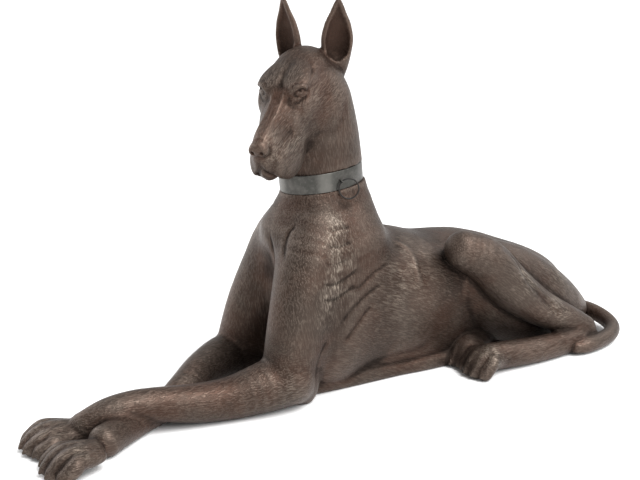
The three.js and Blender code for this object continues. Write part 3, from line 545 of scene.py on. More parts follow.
# %% Nose, mouth and lids
FACE_LINES = {
    "wing of the nose": ([(146, 22, -40), (143, 24, -50), (146, 23, -60), (156, 15, -66)], 3.5, 1.8),
    "upper lid": ([(15, 26, -9), (6, 33, 4), (0, 43, 8), (-7, 54, 4), (-9, 60, -7)], 3.4, -4),
    "over the lid": ([(11, 29, 4), (2, 35, 13), (-7, 44, 16), (-15, 56, 11)], 3, 3.4),
    "lower lid": ([(15, 26, -9), (13, 36, -16), (8, 46, -16), (-1, 54, -14), (-9, 60, -7)], 3.2, -3),
    "under the eye": ([(20, 32, -24), (16, 43, -25), (7, 53, -23), (-6, 59, -18)], 3.4, 1.6),
    "tear line": ([(15, 26, -10), (22, 25, -18), (32, 26, -30)], 4, 0.9),
    "edge of the bridge": ([(10, 13, 2), (50, 14, -13), (95, 14, -21), (136, 13, -29)], 5, -2.4),
    "under the cheekbone": ([(34, 34, -40), (56, 36, -58), (78, 36, -66)], 8, 1.0),
    "mouth": ([
        (170, 0, -64), (168, 2, -88), (160, 9, -106), (148, 20, -124),
        (130, 24, -140), (100, 22, -152), (60, 22, -150),
    ], 5, 7),
    "back of the cheek": ([(-100, 62, -20), (-116, 66, -60), (-104, 66, -104), (-70, 58, -132)], 10, 3),
}
clay.melt(head_egg((116, 0, -132), (36, 18, 15)), 5)
clay.melt(head_egg((150, 0, -46), (17, 20, 15)), 12)
for side in (1, -1):
    clay.melt(head_egg((156, side * 13, -51), (10, 9, 10)), 7)
    clay.cut(head_egg((168, side * 11, -51), (11, 4.5, 5)), 3)
    for stations, width, depth in FACE_LINES.values():
        head_line([(ahead, side * out, rise) for ahead, out, rise in stations], width, depth)
head_line([(14, 0, 4), (-20, 0, 18), (-60, 0, 26), (-110, 0, 26)], 7, 4)
print("steps with the face:", len(clay.steps))

# %% [markdown]
# Loose skin folds under the collar, along the arms and over the ribs, and wrinkles over the shoulder.
# Each row holds a fold's places, its width and its depth, and a depth below zero lifts a roll.
# These lines were read off the side that shows, and the hidden side gets the larger ones too.

# %% Folds in the skin
FOLDS = {
    "under the collar": ([
        (7, -184, 435), (34, -182, 431), (58, -170, 433), (75, -148, 443), (86, -112, 447),
    ], 5, 2.6),
    "front of the arm": ([(79, -191, 408), (72, -205, 392), (79, -223, 368), (98, -240, 336)], 6, 4),
    "behind the arm": ([(146, -200, 21), (158, -196, 76), (160, -186, 120), (158, -160, 165)], 10, 2.5),
    "first wrinkle": ([(134, -138, 401), (133, -111, 401), (130, -75, 402)], 4, 2.2),
    "second wrinkle": ([(148, -153, 369), (148, -120, 366), (144, -83, 371)], 4, 2.2),
    "third wrinkle": ([(159, -168, 333), (158, -133, 329), (155, -92, 338)], 4, 2.4),
    "fourth wrinkle": ([(167, -181, 293), (162, -146, 283), (154, -102, 292), (154, -75, 308)], 4.5, 2.4),
    "fifth wrinkle": ([(173, -185, 258), (164, -147, 248), (157, -107, 258), (156, -76, 276)], 4.5, 2.4),
    "upper rib": ([(136, 29, 301), (151, -25, 289), (157, -71, 265), (157, -99, 261)], 6, 2.4),
    "middle rib": ([(153, 3, 261), (159, -49, 243), (162, -96, 213), (161, -128, 181)], 6, 2.8),
    "lower rib": ([(154, -34, 217), (158, -59, 198), (158, -90, 165), (156, -118, 135)], 7, 2.4),
    "withers": ([(148, -21, 341), (154, -53, 333), (154, -81, 324)], 6, 1.4),
    "shoulder blade": ([(84, 73, 340), (106, 104, 315), (141, 106, 274), (159, 106, 219)], 7, -2.5),
    "above the belly": ([
        (114, -110, 58), (117, -40, 53), (132, 37, 59), (139, 108, 64), (146, 167, 85),
    ], 11, 2.5),
    "behind the shank": ([
        (191, 296, 306), (194, 361, 270), (224, 389, 216), (234, 441, 157), (242, 497, 101),
    ], 9, 4),
    "breast": ([(-12, -191, 425), (14, -216, 375), (30, -222, 330), (40, -224, 290)], 10, 5),
    "jaw": ([
        (61, -47, 701), (75, -59, 660), (80, -74, 633), (81, -96, 617), (75, -132, 613), (68, -143, 602),
    ], 10, 1.2),
}
MIRRORED = ("under the collar", "behind the arm", "middle rib", "lower rib")
for name, (stations, width, depth) in FOLDS.items():
    clay.press(stations, width, depth)
    if name in MIRRORED:
        clay.press([(-x, y, z) for x, y, z in stations], width, depth)
print("folds:", len(FOLDS), "of them on both sides:", len(MIRRORED))

# %% [markdown]
# The band lies in a shallow seat that runs round the neck, and the underside is level.
# The seat is cut a little deeper than the band is thick, so the two never touch.

# %% Seat of the band and level underside
SEAT_DEPTH = BAND_WALL + 1.0
SEAT_HALF_HEIGHT = BAND_HALF_HEIGHT + 0.4
SEAT_REACH = 150.0
WHOLE_DOG = 3000.0
UNDERSIDE = float(board_origin[2])
tilt = np.array([
    [1, 0, 0],
    [0, math.cos(BAND_TILT), math.sin(BAND_TILT)],
    [0, -math.sin(BAND_TILT), math.cos(BAND_TILT)],
])


def seat(points):
    """Negative where the band's seat takes skin away."""
    local = (points - BAND_MIDDLE) @ tilt.T
    share = np.hypot(local[:, 0] / BAND_HALF_WIDTH, local[:, 1] / BAND_HALF_LENGTH)
    outward = np.hypot(local[:, 0], local[:, 1]) * (1 - 1 / np.maximum(share, SMALL_SHARE))
    return np.maximum(-outward - SEAT_DEPTH, np.abs(local[:, 2]) - SEAT_HALF_HEIGHT).astype(F32)


def under_ground(points):
    """Negative below the level underside."""
    return points[:, 2] - UNDERSIDE


clay.cut((seat, BAND_MIDDLE, SEAT_REACH), 0.5)
clay.cut((under_ground, np.zeros(3), WHOLE_DOG), 2)
print("steps in all:", len(clay.steps))

# %% [markdown]
# Clay by distances has no faces yet. A grid of points is laid over it, fine at the head and the paws.
# Each grid cell that the skin passes through gets one corner point, and neighbours join into squares.
# Whole blocks of cells far from the skin are left out, so the fine grid stays quick.

# %% Grid over the clay
COARSE_CELL, FINE_CELL = ((3.6, 2.3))
BLOCK = 6
BLOCK_SPARE, BLOCK_AIR = 1.35, 12
CHUNK = 300000


def ruler(start, end, fine_parts):
    """Grid lines from start to end, closer together inside the fine parts."""
    marks = [start]
    while marks[-1] < end:
        fine = any(low <= marks[-1] <= high for low, high in fine_parts)
        marks.append(marks[-1] + (FINE_CELL if fine else COARSE_CELL))
    return np.array(marks, F32)


# Each ruler spans the dog with some air, and its fine parts cover the head and the paws.
rulers = (
    ruler(-190, 310, [(-20, 160)]),
    ruler(-890, 790, [(-850, -700), (-350, -90)]),
    ruler(-14, 922, [(0, 70), (550, 900)]),
)


def sampled(rulers):
    """The distance at each grid point near the skin, and only its sign elsewhere."""
    starts = [np.arange(0, len(marks) - 1, BLOCK) for marks in rulers]
    ends = [np.minimum(first + BLOCK, len(marks) - 1) for first, marks in zip(starts, rulers)]
    centres = [(marks[a] + marks[b]) / 2 for marks, a, b in zip(rulers, starts, ends)]
    halves = [(marks[b] - marks[a]) / 2 for marks, a, b in zip(rulers, starts, ends)]
    middle = np.stack(np.meshgrid(*centres, indexing="ij"), -1).reshape(-1, 3)
    reach = np.sqrt((np.stack(np.meshgrid(*halves, indexing="ij"), -1) ** 2).sum(-1))
    rough = clay.distance(middle).reshape(reach.shape)
    shape = tuple(len(marks) for marks in rulers)
    wanted = np.zeros(shape, bool)
    for i, j, k in zip(*np.nonzero(np.abs(rough) < reach * BLOCK_SPARE + BLOCK_AIR)):
        a, b, c = starts[0][i], starts[1][j], starts[2][k]
        wanted[a:a + BLOCK + 1, b:b + BLOCK + 1, c:c + BLOCK + 1] = True
    sign = np.sign(rough)
    for axis in range(3):
        sign = np.repeat(sign, BLOCK, axis)
    pad = [(0, max(0, n - m)) for n, m in zip(shape, sign.shape)]
    field = np.pad(sign, pad, mode="edge")[:shape[0], :shape[1], :shape[2]].astype(F32)
    place = np.nonzero(wanted)
    points = np.stack([marks[index] for marks, index in zip(rulers, place)], -1)
    parts = [clay.distance(points[s:s + CHUNK]) for s in range(0, len(points), CHUNK)]
    field[place] = np.concatenate(parts)
    return field


field = sampled(rulers)
print("grid points:", field.shape)

# %% [markdown]
# The corner point of a cell is the mean of the places where the skin crosses the cell's edges.

# %% Skin from the grid
def skin(field, rulers):
    """Corner points and four-sided faces of the surface where the distance is zero."""
    inside = field < 0
    cells = tuple(n - 1 for n in field.shape)
    offsets = [(i, j, k) for i in (0, 1) for j in (0, 1) for k in (0, 1)]
    filled = sum(
        inside[i:cells[0] + i, j:cells[1] + j, k:cells[2] + k].astype(np.int8)
        for i, j, k in offsets
    )
    crossed = np.nonzero((filled > 0) & (filled < 8))
    number = np.full(cells, -1, np.int64)
    number[crossed] = np.arange(len(crossed[0]))
    total, count = np.zeros((len(crossed[0]), 3)), np.zeros(len(crossed[0]))

    def corner(offset):
        index = [c + o for c, o in zip(crossed, offset)]
        return field[tuple(index)], np.stack([marks[i] for marks, i in zip(rulers, index)], -1)

    for offset in offsets:
        value, place = corner(offset)
        for axis in range(3):
            if offset[axis]:
                continue
            other_value, other_place = corner(tuple(o + (a == axis) for a, o in enumerate(offset)))
            changes = (value < 0) != (other_value < 0)
            share = np.where(changes, value / np.where(changes, value - other_value, 1), 0)
            total += (place + (other_place - place) * share[:, None]) * changes[:, None]
            count += changes
    faces = []
    for axis in range(3):
        low = [slice(1, n - 1) for n in field.shape]
        low[axis] = slice(0, field.shape[axis] - 1)
        high = list(low)
        high[axis] = slice(1, field.shape[axis])
        before, after = inside[tuple(low)], inside[tuple(high)]
        edge = np.nonzero(before != after)
        start = [index + (a != axis) for a, index in enumerate(edge)]
        u, v = (axis + 1) % 3, (axis + 2) % 3
        ring = []
        for du, dv in ((1, 1), (0, 1), (0, 0), (1, 0)):
            cell = list(start)
            cell[u], cell[v] = cell[u] - du, cell[v] - dv
            ring.append(number[tuple(cell)])
        ring = np.stack(ring, 1)
        turned = ~before[edge]
        ring[turned] = ring[turned][:, ::-1]
        faces.append(ring)
    return total / count[:, None], np.concatenate(faces)


points, faces = skin(field, rulers)
print("skin:", len(points), "points,", len(faces), "faces")

# %% [markdown]
# The fine skin has more faces than it needs on the flanks.
# Thinning merges faces where the skin is nearly flat and keeps them round the eyes and toes.
# It is made part of the mesh, because the next step measures the finished skin.

# %% The dog's mesh
MOST_TRIANGLES = 188000


def mesh_object(name, corner_places, corner_faces):
    mesh = bpy.data.meshes.new(name)
    mesh.from_pydata(np.asarray(corner_places).tolist(), [], np.asarray(corner_faces).tolist())
    mesh.update()
    piece = bpy.data.objects.new(name, mesh)
    bpy.context.scene.collection.objects.link(piece)
    return piece


def settled(piece):
    """The piece's modifiers become part of its mesh."""
    graph = bpy.context.evaluated_depsgraph_get()
    mesh = bpy.data.meshes.new_from_object(piece.evaluated_get(graph))
    piece.modifiers.clear()
    piece.data = mesh
    mesh.name = piece.name
    return piece


def smooth_shaded(piece):
    piece.data.shade_smooth()
    return piece


dog = mesh_object("bronze_dog", to_row(points), faces)
thinned = dog.modifiers.new("thinned", "DECIMATE")
thinned.ratio = min(1.0, MOST_TRIANGLES / (2 * len(faces)))
smooth_shaded(settled(dog))
print("dog:", len(dog.data.polygons), "faces")

# %% [markdown]
# Patina grows dark in hollows, and hands and weather rub the raised edges bright.
# So the mesh is measured: where the skin stands proud of its smoothed self it is a ridge.
# The measure is kept on the mesh, where the materials can read it.

# %% Ridges and hollows
SMOOTHING_ROUNDS = 14
FULL_RIDGE = 1.1 * MM

mesh = dog.data
places = np.empty(len(mesh.vertices) * 3)
mesh.vertices.foreach_get("co", places)
places = places.reshape(-1, 3)
normals = np.empty(len(mesh.vertices) * 3)
mesh.vertices.foreach_get("normal", normals)
normals = normals.reshape(-1, 3)
edges = np.empty(len(mesh.edges) * 2, np.int64)
mesh.edges.foreach_get("vertices", edges)
edges = edges.reshape(-1, 2)
here, there = np.concatenate([edges, edges[:, ::-1]]).T
neighbours = np.bincount(here, minlength=len(places))


def spread(values):
    """Each value becomes the mean of its neighbours' values."""
    return np.bincount(here, values[there], len(values)) / neighbours


soft = places.copy()
for _ in range(SMOOTHING_ROUNDS):
    soft = np.column_stack([(soft[:, a] + spread(soft[:, a])) / 2 for a in range(3)])
ridge = ((places - soft) * normals).sum(1) / FULL_RIDGE
ridge = np.clip((ridge + spread(ridge)) / 2, -1, 1)


def keep(name, values):
    attribute = mesh.attributes.new(name, "FLOAT", "POINT")
    attribute.data.foreach_set("value", np.asarray(values, np.float32))


keep("ridge", ridge * 0.5 + 0.5)
print("ridges from", ridge.min().round(2), "to", ridge.max().round(2))

# %% [markdown]
# Short hair is scratched into the wax before casting, and it lies along the body as a coat does.
# Each part of the dog has its own lie of the hair, so each gets a weight that fades into the next.
# Places that stick out are rubbed, and the strokes there show light metal. On the shoulders, the chest,
# the thigh and the rump these places are also painted highlights.
# The bridge of the nose, the lips and the ears are smoother and redder than the coat.

# %% Lie of the hair, rubbed places with painted highlights, and redder places
# Each part has the lie of its hair, then its spots as x, y, z and size.
HAIR = {
    "trunk": ((0.05, 0.92, -0.38), [(60, 150, 220, 150), (0, 420, 220, 140), (40, 20, 120, 120)]),
    "neck": ((0.05, 0.12, -0.99), [
        (0, -60, 560, 90), (0, -100, 400, 110), (80, -160, 280, 100), (-80, -150, 280, 90),
    ]),
    "leg": ((0.0, -1.0, -0.05), [
        (100, -420, 50, 110), (20, -600, 40, 130), (120, -720, 30, 100), (230, 440, 40, 80),
    ]),
    "thigh": ((0.12, 0.78, -0.62), [(180, 400, 180, 90), (120, 560, 150, 80)]),
    "head": (tuple(-head_ahead), [(*BROW, 110), (*on_head(100, 0, -80), 80)]),
}
# Each rubbed place, partly a painted highlight, is x, y, z, size and amount.
RUBBED_AND_HIGHLIT = [
    (135, -130, 330, 38, 1.0), (150, -150, 270, 34, 1.0), (120, -120, 385, 30, 0.7),
    (120, -110, 425, 22, 0.35), (150, -180, 215, 26, 0.7), (225, 395, 225, 40, 0.7),
    (225, 490, 130, 36, 0.8), (140, 560, 190, 50, 0.5), (170, -260, 60, 60, 0.15),
    (180, -770, 40, 40, 0.3), (40, -780, 50, 40, 0.25), (110, 660, 140, 60, 0.6),
    (150, 80, 250, 90, 0.25), (240, 260, 50, 40, 0.5), (-90, -170, 380, 50, 0.5),
    (-150, -200, 200, 60, 0.4), (*on_head(60, 40, -90), 46, 0.35),
    (*on_head(-30, 55, -40), 30, 0.25), (*on_head(130, 20, -60), 30, 0.3),
]
REDDENED = [(*on_head(*place), size) for *place, size in (
    (25, 0, -4, 20), (60, 0, -14, 20), (95, 0, -20, 20), (130, 0, -30, 22), (156, 0, -50, 22),
    (150, 0, -130, 26), (-190, 62, 30, 60), (-190, -55, 30, 60),
)]
FAINTEST = 1e-4
board_places = places / MM + board_origin


def nearness(x, y, z, size):
    gap = np.linalg.norm(board_places - (x, y, z), axis=1)
    return np.exp(-(gap / size) ** 2)


weights = np.stack([sum(nearness(*spot) for spot in spots) + FAINTEST for _, spots in HAIR.values()])
weights /= weights.sum(0)
for name, weight in zip(HAIR, weights):
    keep("hair_" + name, weight)
# Rubbed wear, which also carries the painted highlights.
rubbed_and_highlit = np.clip(sum(amount * nearness(x, y, z, size) for x, y, z, size, amount in RUBBED_AND_HIGHLIT), 0, 1)
keep("rubbed_and_highlit", rubbed_and_highlit)
keep("reddened", np.clip(sum(nearness(*spot) for spot in REDDENED), 0, 1))
print("lies of hair:", list(HAIR), "rubbed places:", len(RUBBED_AND_HIGHLIT))

# %% [markdown]
# The band is a flat strap bent into an oval.
# Its edges are rounded, because a sharp edge catches no light.
# One closed outline of the strap is carried round the oval, and a small wire eye is soldered on.

# %% Collar band
EDGE = 1.1
BAND_SIDES = 144
EDGE_STEPS = 4


def strap_outline():
    """The strap's cut: inward offset and height, with four rounded corners."""
    half_wall, half_height = BAND_WALL / 2 - EDGE, BAND_HALF_HEIGHT - EDGE
    outline = []
    for quarter, (x, z) in enumerate(((1, 1), (-1, 1), (-1, -1), (1, -1))):
        for step in range(EDGE_STEPS):
            angle = math.pi / 2 * (quarter + step / (EDGE_STEPS - 1))
            outline.append((
                x * half_wall + EDGE * math.cos(angle) - BAND_WALL / 2,
                z * half_height + EDGE * math.sin(angle),
            ))
    return outline


def swept(rings):
    """Faces between closed rings of points that close on themselves."""
    count, sides = len(rings), len(rings[0])
    corner_faces = []
    for i in range(count):
        for j in range(sides):
            following, next_ring = (j + 1) % sides, (i + 1) % count
            corner_faces.append((
                i * sides + j, next_ring * sides + j,
                next_ring * sides + following, i * sides + following,
            ))
    return np.concatenate(rings), corner_faces


def wire_ring(radius, wire, around, thick):
    """A round wire bent into a circle in its own XY plane."""
    angles = 2 * math.pi * np.arange(thick) / thick
    reach, rise = radius + wire * np.cos(angles), wire * np.sin(angles)
    rings = []
    for i in range(around):
        turn = 2 * math.pi * i / around
        rings.append(np.column_stack([reach * math.cos(turn), reach * math.sin(turn), rise]))
    return swept(rings)


inward, rise = np.array(strap_outline()).T
band_rings = []
for i in range(BAND_SIDES):
    angle = 2 * math.pi * i / BAND_SIDES
    band_rings.append(np.column_stack([
        (BAND_HALF_WIDTH + inward) * math.cos(angle),
        (BAND_HALF_LENGTH + inward) * math.sin(angle),
        rise,
    ]))
band_points, band_faces = swept(band_rings)
print("band:", len(band_faces), "faces")

# %% [markdown]
# The ring hangs a little off the band at the left, leaning out at its foot.
# Its own plane starts flat on the band, then it is swivelled to the front and leaned.
# The eye is a smaller ring of wire round it, and it belongs to the band.

# %% Ring and its eye
RING_RADIUS, RING_WIRE = 23.0, 1.8
RING_STANDOFF, RING_DROP = 13.5, 20.0
RING_LEAN = math.radians(10)
RING_SWIVEL = math.radians(26)
RING_PLACE = math.radians(6)
EYE_RADIUS, EYE_WIRE = 4.8, 1.5
RING_SIDES, EYE_SIDES = (96, 14), (40, 12)
EYE_TURN = math.radians(128)
EYE_LIFT = 0.3

outward = unit((math.cos(RING_PLACE) / BAND_HALF_WIDTH, math.sin(RING_PLACE) / BAND_HALF_LENGTH, 0))
along = np.cross(UP, outward)
ring_middle = np.array([
    BAND_HALF_WIDTH * math.cos(RING_PLACE), BAND_HALF_LENGTH * math.sin(RING_PLACE), -RING_DROP,
]) + outward * RING_STANDOFF
lean_out = np.array([
    [1, 0, 0],
    [0, math.cos(RING_LEAN), math.sin(RING_LEAN)],
    [0, -math.sin(RING_LEAN), math.cos(RING_LEAN)],
])
swivel_out = np.array([
    [math.cos(RING_SWIVEL), 0, -math.sin(RING_SWIVEL)],
    [0, 1, 0],
    [math.sin(RING_SWIVEL), 0, math.cos(RING_SWIVEL)],
])
ring_axes = np.array([along, UP, outward]).T @ swivel_out @ lean_out


def on_band(local):
    """Places in the band's own tilted frame become places on the drawing board."""
    return np.asarray(local) @ tilt + BAND_MIDDLE


ring_points, ring_faces = wire_ring(RING_RADIUS, RING_WIRE, *RING_SIDES)
ring_row = to_row(on_band(ring_points @ ring_axes.T + ring_middle))
eye_points, eye_faces = wire_ring(EYE_RADIUS, EYE_WIRE, *EYE_SIDES)
spin = np.array([
    [math.cos(EYE_TURN), -math.sin(EYE_TURN), 0],
    [math.sin(EYE_TURN), math.cos(EYE_TURN), 0],
    [0, 0, 1],
])
upright = np.array([[1, 0, 0], [0, 0, -1], [0, 1, 0]])
eye_points = eye_points @ (spin @ upright).T
eye_points += (RING_RADIUS * math.cos(EYE_TURN), RING_RADIUS * math.sin(EYE_TURN), EYE_LIFT)
eye_points = eye_points @ ring_axes.T + ring_middle

band_row = to_row(on_band(np.concatenate([band_points, eye_points])))
band_all = band_faces + [tuple(c + len(band_points) for c in face) for face in eye_faces]
band = smooth_shaded(mesh_object("collar_strap", band_row, band_all))
ring = smooth_shaded(mesh_object("hanging_ring", ring_row, ring_faces))


def faces_outward(piece):
    """Turns all faces of a piece outward."""
    shape = bmesh.new()
    shape.from_mesh(piece.data)
    bmesh.ops.recalc_face_normals(shape, faces=shape.faces)
    shape.to_mesh(piece.data)
    shape.free()


for piece in (band, ring):
    faces_outward(piece)
    print(piece.name, [round(side / MM, 1) for side in piece.dimensions], "mm")
for name, piece in (("collar_band", band), ("collar_ring", ring)):
    low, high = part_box(name)
    drawn = np.array([v.co for v in piece.data.vertices])
    apart = max(np.abs(drawn.min(0) - low).max(), np.abs(drawn.max(0) - high).max())
    print(name, "lies within", round(float(apart / MM), 2), "mm of the frame")

# %% [markdown]
# Each piece moves with the root and stands for its node of the frame. A row gives the piece, its node and
# a slot name.

# %% Tie the pieces to the frame
PIECES = (
    (dog, "dog_figure", "bronze"),
    (band, "collar_band", "collar_metal"),
    (ring, "collar_ring", "ring_wire"),
)
for piece, node, slot in PIECES:
    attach(piece, "root")
    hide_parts(node)
    print(piece.name, "stands for", node)

# %% [markdown]
# Materials are written as sums. A small class wraps what flows along a wire between two nodes,
# so that 1 - mask or a * b adds the right Math node by itself.
# Every other node comes from one method that takes its type, its settings and what goes into it.

# %% Wires and finishes
class Wire:
    """A value, colour or vector that flows out of a node."""

    def __init__(self, finish, socket):
        self.finish = finish
        self.socket = socket

    def _math(self, operation, first, second):
        return self.finish.node("ShaderNodeMath", {"operation": operation}, {0: first, 1: second})

    def __add__(self, other):
        return self._math("ADD", self, other)

    def __radd__(self, other):
        return self._math("ADD", other, self)

    def __sub__(self, other):
        return self._math("SUBTRACT", self, other)

    def __rsub__(self, other):
        return self._math("SUBTRACT", other, self)

    def __mul__(self, other):
        return self._math("MULTIPLY", self, other)

    def __rmul__(self, other):
        return self._math("MULTIPLY", other, self)

    def clamped(self):
        return self.finish.node("ShaderNodeClamp", {}, {"Value": self})

    def between(self, low, high):
        """Zero below low, one above high and a soft step between them."""
        return self.finish.node(
            "ShaderNodeMapRange", {"interpolation_type": "SMOOTHSTEP"},
            {"Value": self, "From Min": low, "From Max": high},
        )


# A Mix node repeats its names for numbers, vectors and colours, so its sockets go by number.
MIX_SHARE, MIX_FIRST, MIX_SECOND, MIX_COLOUR = 0, 6, 7, 2


class Finish:
    """One material, with its shader and the helpers that fill it."""

    def __init__(self, name):
        self.material = bpy.data.materials.new(name)
        self.material.use_nodes = True
        self.tree = self.material.node_tree
        self.shader = self.tree.nodes["Principled BSDF"]

    def node(self, kind, settings, inputs, output=0):
        made = self.tree.nodes.new(kind)
        for name, value in settings.items():
            setattr(made, name, value)
        for name, value in inputs.items():
            self.feed(made.inputs[name], value)
        return Wire(self, made.outputs[output])

    def feed(self, socket, value):
        if isinstance(value, Wire):
            self.tree.links.new(value.socket, socket)
        else:
            socket.default_value = value

    def set(self, **inputs):
        for name, value in inputs.items():
            self.feed(self.shader.inputs[name.replace("_", " ")], value)

    def places(self):
        return self.node("ShaderNodeTexCoord", {}, {}, "Object")

    def measured(self, name):
        """A value that is kept on the mesh."""
        return self.node("ShaderNodeAttribute", {"attribute_name": name}, {}, "Fac")

    def noise(self, scale, detail, rough, at=None, wobble=0.0):
        return self.node("ShaderNodeTexNoise", {}, {
            "Vector": at or self.places(), "Scale": scale, "Detail": detail,
            "Roughness": rough, "Distortion": wobble,
        })

    def stretched(self, along, times):
        """Coordinates that run slowly along one direction, for strokes that lie that way."""
        turn = Vector(along).to_track_quat("Z", "Y").to_euler()
        return self.node("ShaderNodeMapping", {"vector_type": "TEXTURE"}, {
            "Vector": self.places(), "Rotation": tuple(turn), "Scale": (1.0, 1.0, times),
        })

    def mix(self, share, first, second):
        return self.node("ShaderNodeMix", {"data_type": "RGBA"}, {
            MIX_SHARE: share, MIX_FIRST: colour(first), MIX_SECOND: colour(second),
        }, MIX_COLOUR)

    def bump(self, height, depth, strength):
        return self.node("ShaderNodeBump", {}, {
            "Height": height, "Distance": depth, "Strength": strength,
        })


def colour(value):
    return value if isinstance(value, Wire) else (*value, 1.0)


print("a finish wraps one Principled shader")

# %% [markdown]
# The bronze is dark brown with red clouds, darker in the hollows and dusty tan on strokes and ridges.
# Where it is rubbed, the strokes let light metal through, and this light metal also paints highlights on
# the shoulders, the chest, the thigh and the rump.
# The strokes are stretched noise: one noise for each lie of the hair, shared out by the weights.
# The same strokes raise the bump, so colour and relief agree.
# Clouds and blotches vary the brown, and a fine grit keeps the highlights from looking wet.

# %% Brown bronze
DEEP_BROWN = (0.010, 0.0062, 0.0045)
BROWN = (0.052, 0.036, 0.028)
RED_BROWN = (0.068, 0.038, 0.027)
DUSTY_TAN = (0.160, 0.127, 0.104)
# Light metal of the rubbed places, also the colour of the painted highlights.
RUBBED_METAL_AND_HIGHLIGHT = (0.560, 0.480, 0.390)
STROKE_SCALE, STROKE_LENGTH, STROKE_WOBBLE = 330, 6.0, 0.4
CLOUD_SCALE, BLOTCH_SCALE, GRIT_SCALE = 7, 34, 900
COAT_DEPTH, COAT_STRENGTH = 0.0011, 0.8

bronze = Finish("brown_bronze")
strokes = None
for name, (lie, _) in HAIR.items():
    at = bronze.stretched(lie, STROKE_LENGTH)
    part = bronze.noise(STROKE_SCALE, 2.0, 0.6, at, STROKE_WOBBLE) * bronze.measured("hair_" + name)
    strokes = part if strokes is None else strokes + part
hairs = strokes.between(0.44, 0.62)
ridges = bronze.measured("ridge")
proud = ridges.between(0.52, 0.85)
sunk = 1 - ridges.between(0.16, 0.5)
clouds = bronze.noise(CLOUD_SCALE, 4.0, 0.6)
blotches = bronze.noise(BLOTCH_SCALE, 4.0, 0.6)
grit = bronze.noise(GRIT_SCALE, 2.0, 0.5)
# Where the metal is rubbed and where highlights are painted.
rubbing_and_highlight = (bronze.measured("rubbed_and_highlit") * blotches.between(0.36, 0.62)).clamped()

reddened = bronze.measured("reddened")
base = bronze.mix((clouds.between(0.4, 0.68) + reddened).clamped(), BROWN, RED_BROWN)
dust = hairs * (0.20 - reddened * 0.16) + proud * 0.26 + blotches.between(0.5, 0.8) * 0.14
base = bronze.mix(dust.clamped(), base, DUSTY_TAN)
# Rubbed strokes turn to light metal: partly wear, partly painted highlight.
base = bronze.mix((rubbing_and_highlight * (hairs * 0.58 + 0.12)).clamped(), base, RUBBED_METAL_AND_HIGHLIGHT)
shade = sunk * (0.55 - reddened * 0.35) + (1 - hairs) * (0.22 - reddened * 0.18)
base = bronze.mix(shade.clamped(), base, DEEP_BROWN)
height = hairs * 0.7 + blotches * 0.5 + grit * 0.12
bronze.set(
    Base_Color=base,
    Metallic=0.85,
    Roughness=(0.40 - rubbing_and_highlight * 0.14 + sunk * 0.2 + blotches * 0.08).clamped(),
    Normal=bronze.bump(height, COAT_DEPTH, COAT_STRENGTH),
)
dog.data.materials.clear()
dog.data.materials.append(bronze.material)
print("bronze nodes:", len(bronze.tree.nodes))

# %% [markdown]
# The band is a cooler grey-green metal, finely brushed round its length and worn in small specks.
# Broad upright bands of a lighter tone stand for the soft reflections of a satin surface.
# The ring is dark wire with a brown bloom.

# %% Grey band and dark wire
BAND_GREY = (0.088, 0.083, 0.076)
BAND_GREEN = (0.050, 0.049, 0.044)
BAND_BRIGHT = (0.170, 0.165, 0.150)
WIRE_DARK = (0.008, 0.007, 0.006)
WIRE_BROWN = (0.022, 0.016, 0.012)
BRUSH_SCALE, BRUSH_SQUEEZE = 420, 0.12
STAIN_SCALE, SPECK_SCALE, WEAR_SCALE = 30, 260, 120
SHEEN_SCALE, SHEEN_STRETCH = 26, 14
BLOOM_SCALE, PIT_SCALE = 160, 700

strap = Finish("grey_green_metal")
brushed = strap.noise(BRUSH_SCALE, 2.0, 0.6, strap.stretched(UP, BRUSH_SQUEEZE))
stains = strap.noise(STAIN_SCALE, 4.0, 0.6)
specks = strap.noise(SPECK_SCALE, 2.0, 0.5)
worn = strap.noise(WEAR_SCALE, 3.0, 0.6).between(0.5, 0.68)
sheen = strap.noise(SHEEN_SCALE, 1.0, 0.3, strap.stretched(UP, SHEEN_STRETCH))
tone = strap.mix(stains.between(0.4, 0.65), BAND_GREEN, BAND_GREY)
tone = strap.mix(sheen.between(0.50, 0.70) * 0.5, tone, BAND_BRIGHT)
tone = strap.mix((worn * 0.12 + brushed.between(0.5, 0.7) * 0.2).clamped(), tone, BAND_BRIGHT)
strap.set(
    Base_Color=tone,
    Metallic=0.8,
    Roughness=(0.28 + stains * 0.16 + specks * 0.08).clamped(),
    Normal=strap.bump(brushed * 0.5 + specks * 0.5, 0.0004, 0.6),
)
band.data.materials.append(strap.material)

wire = Finish("dark_wire")
bloom = wire.noise(BLOOM_SCALE, 3.0, 0.6)
pits = wire.noise(PIT_SCALE, 2.0, 0.5)
wire.set(
    Base_Color=wire.mix(bloom.between(0.42, 0.66), WIRE_DARK, WIRE_BROWN),
    Metallic=0.3,
    Roughness=(0.45 + bloom * 0.25).clamped(),
    Normal=wire.bump(pits, 0.0003, 0.6),
)
ring.data.materials.append(wire.material)
for finish in (strap, wire):
    print(finish.material.name, "nodes:", len(finish.tree.nodes))

# %% [markdown]
# The floor is plain and pale, and the light is soft, as in a bright studio.
# A broad soft sun from above the dog's left side does most of the work.
# Three wide panels help it: one behind for the nape and the back, one low at the flank,
# and one on the far side, which keeps the chest and the right foreleg from going black.

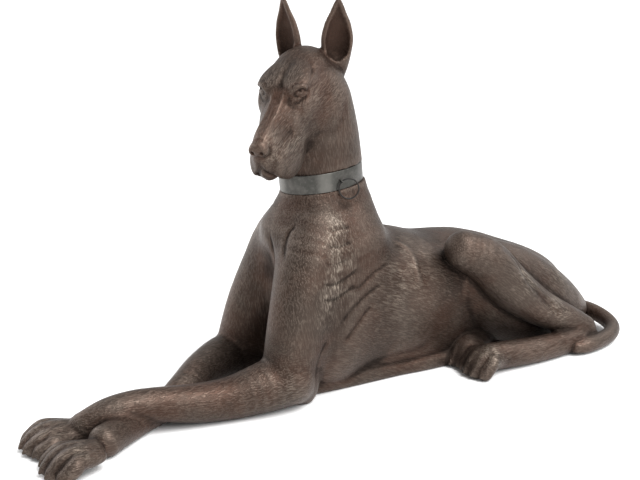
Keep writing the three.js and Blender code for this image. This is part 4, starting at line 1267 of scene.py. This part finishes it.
# %% Floor and light
FLOOR_HALF = 60.0
FLOOR_PALE = (0.90, 0.90, 0.90)
WORLD_WHITE = (1.0, 1.0, 1.0)
WORLD_STRENGTH = 0.6
SUN_STRENGTH = 3.4
SUN_SPREAD = math.radians(40)
SUN_FROM = (0.42, 0.22, 0.88)
FLOOR_GAP = 0.0005
FLOOR_ROUGHNESS = 0.9

floor = mesh_object("floor", [
    (-FLOOR_HALF, -FLOOR_HALF, 0), (FLOOR_HALF, -FLOOR_HALF, 0),
    (FLOOR_HALF, FLOOR_HALF, 0), (-FLOOR_HALF, FLOOR_HALF, 0),
], [(0, 1, 2, 3)])
floor.location.z = cad_low.z - FLOOR_GAP
pale = Finish("pale_floor")
pale.set(Base_Color=colour(FLOOR_PALE), Roughness=FLOOR_ROUGHNESS)
floor.data.materials.append(pale.material)

world = bpy.data.worlds.new("studio")
world.use_nodes = True
sky = world.node_tree.nodes["Background"]
sky.inputs["Color"].default_value = colour(WORLD_WHITE)
sky.inputs["Strength"].default_value = WORLD_STRENGTH
bpy.context.scene.world = world
bpy.context.scene.view_settings.view_transform = "Standard"

# Each panel has a name, a place, a size, a power and the point it looks at.
LIGHTS = (
    ("behind", (0.2, 2.6, 1.8), 1.8, 20, (0, 0, 0.5)),
    ("flank", (2.6, 0.5, 1.7), 1.1, 34, (0, 0, 0.35)),
    ("far_side", (-2.4, -1.4, 1.4), 1.6, 34, (0, -0.1, 0.5)),
)
for name, place, size, power, aim in LIGHTS:
    lamp = bpy.data.objects.new(name, bpy.data.lights.new(name, "AREA"))
    lamp.data.size = size
    lamp.data.energy = power
    lamp.location = place
    lamp.rotation_euler = (Vector(aim) - Vector(place)).to_track_quat("-Z", "Y").to_euler()
    bpy.context.scene.collection.objects.link(lamp)
sun = bpy.data.objects.new("soft_sun", bpy.data.lights.new("soft_sun", "SUN"))
sun.data.energy = SUN_STRENGTH
sun.data.angle = SUN_SPREAD
sun.rotation_euler = Vector(SUN_FROM).to_track_quat("Z", "Y").to_euler()
bpy.context.scene.collection.objects.link(sun)
print("lights:", [row[0] for row in LIGHTS] + ["soft_sun"])
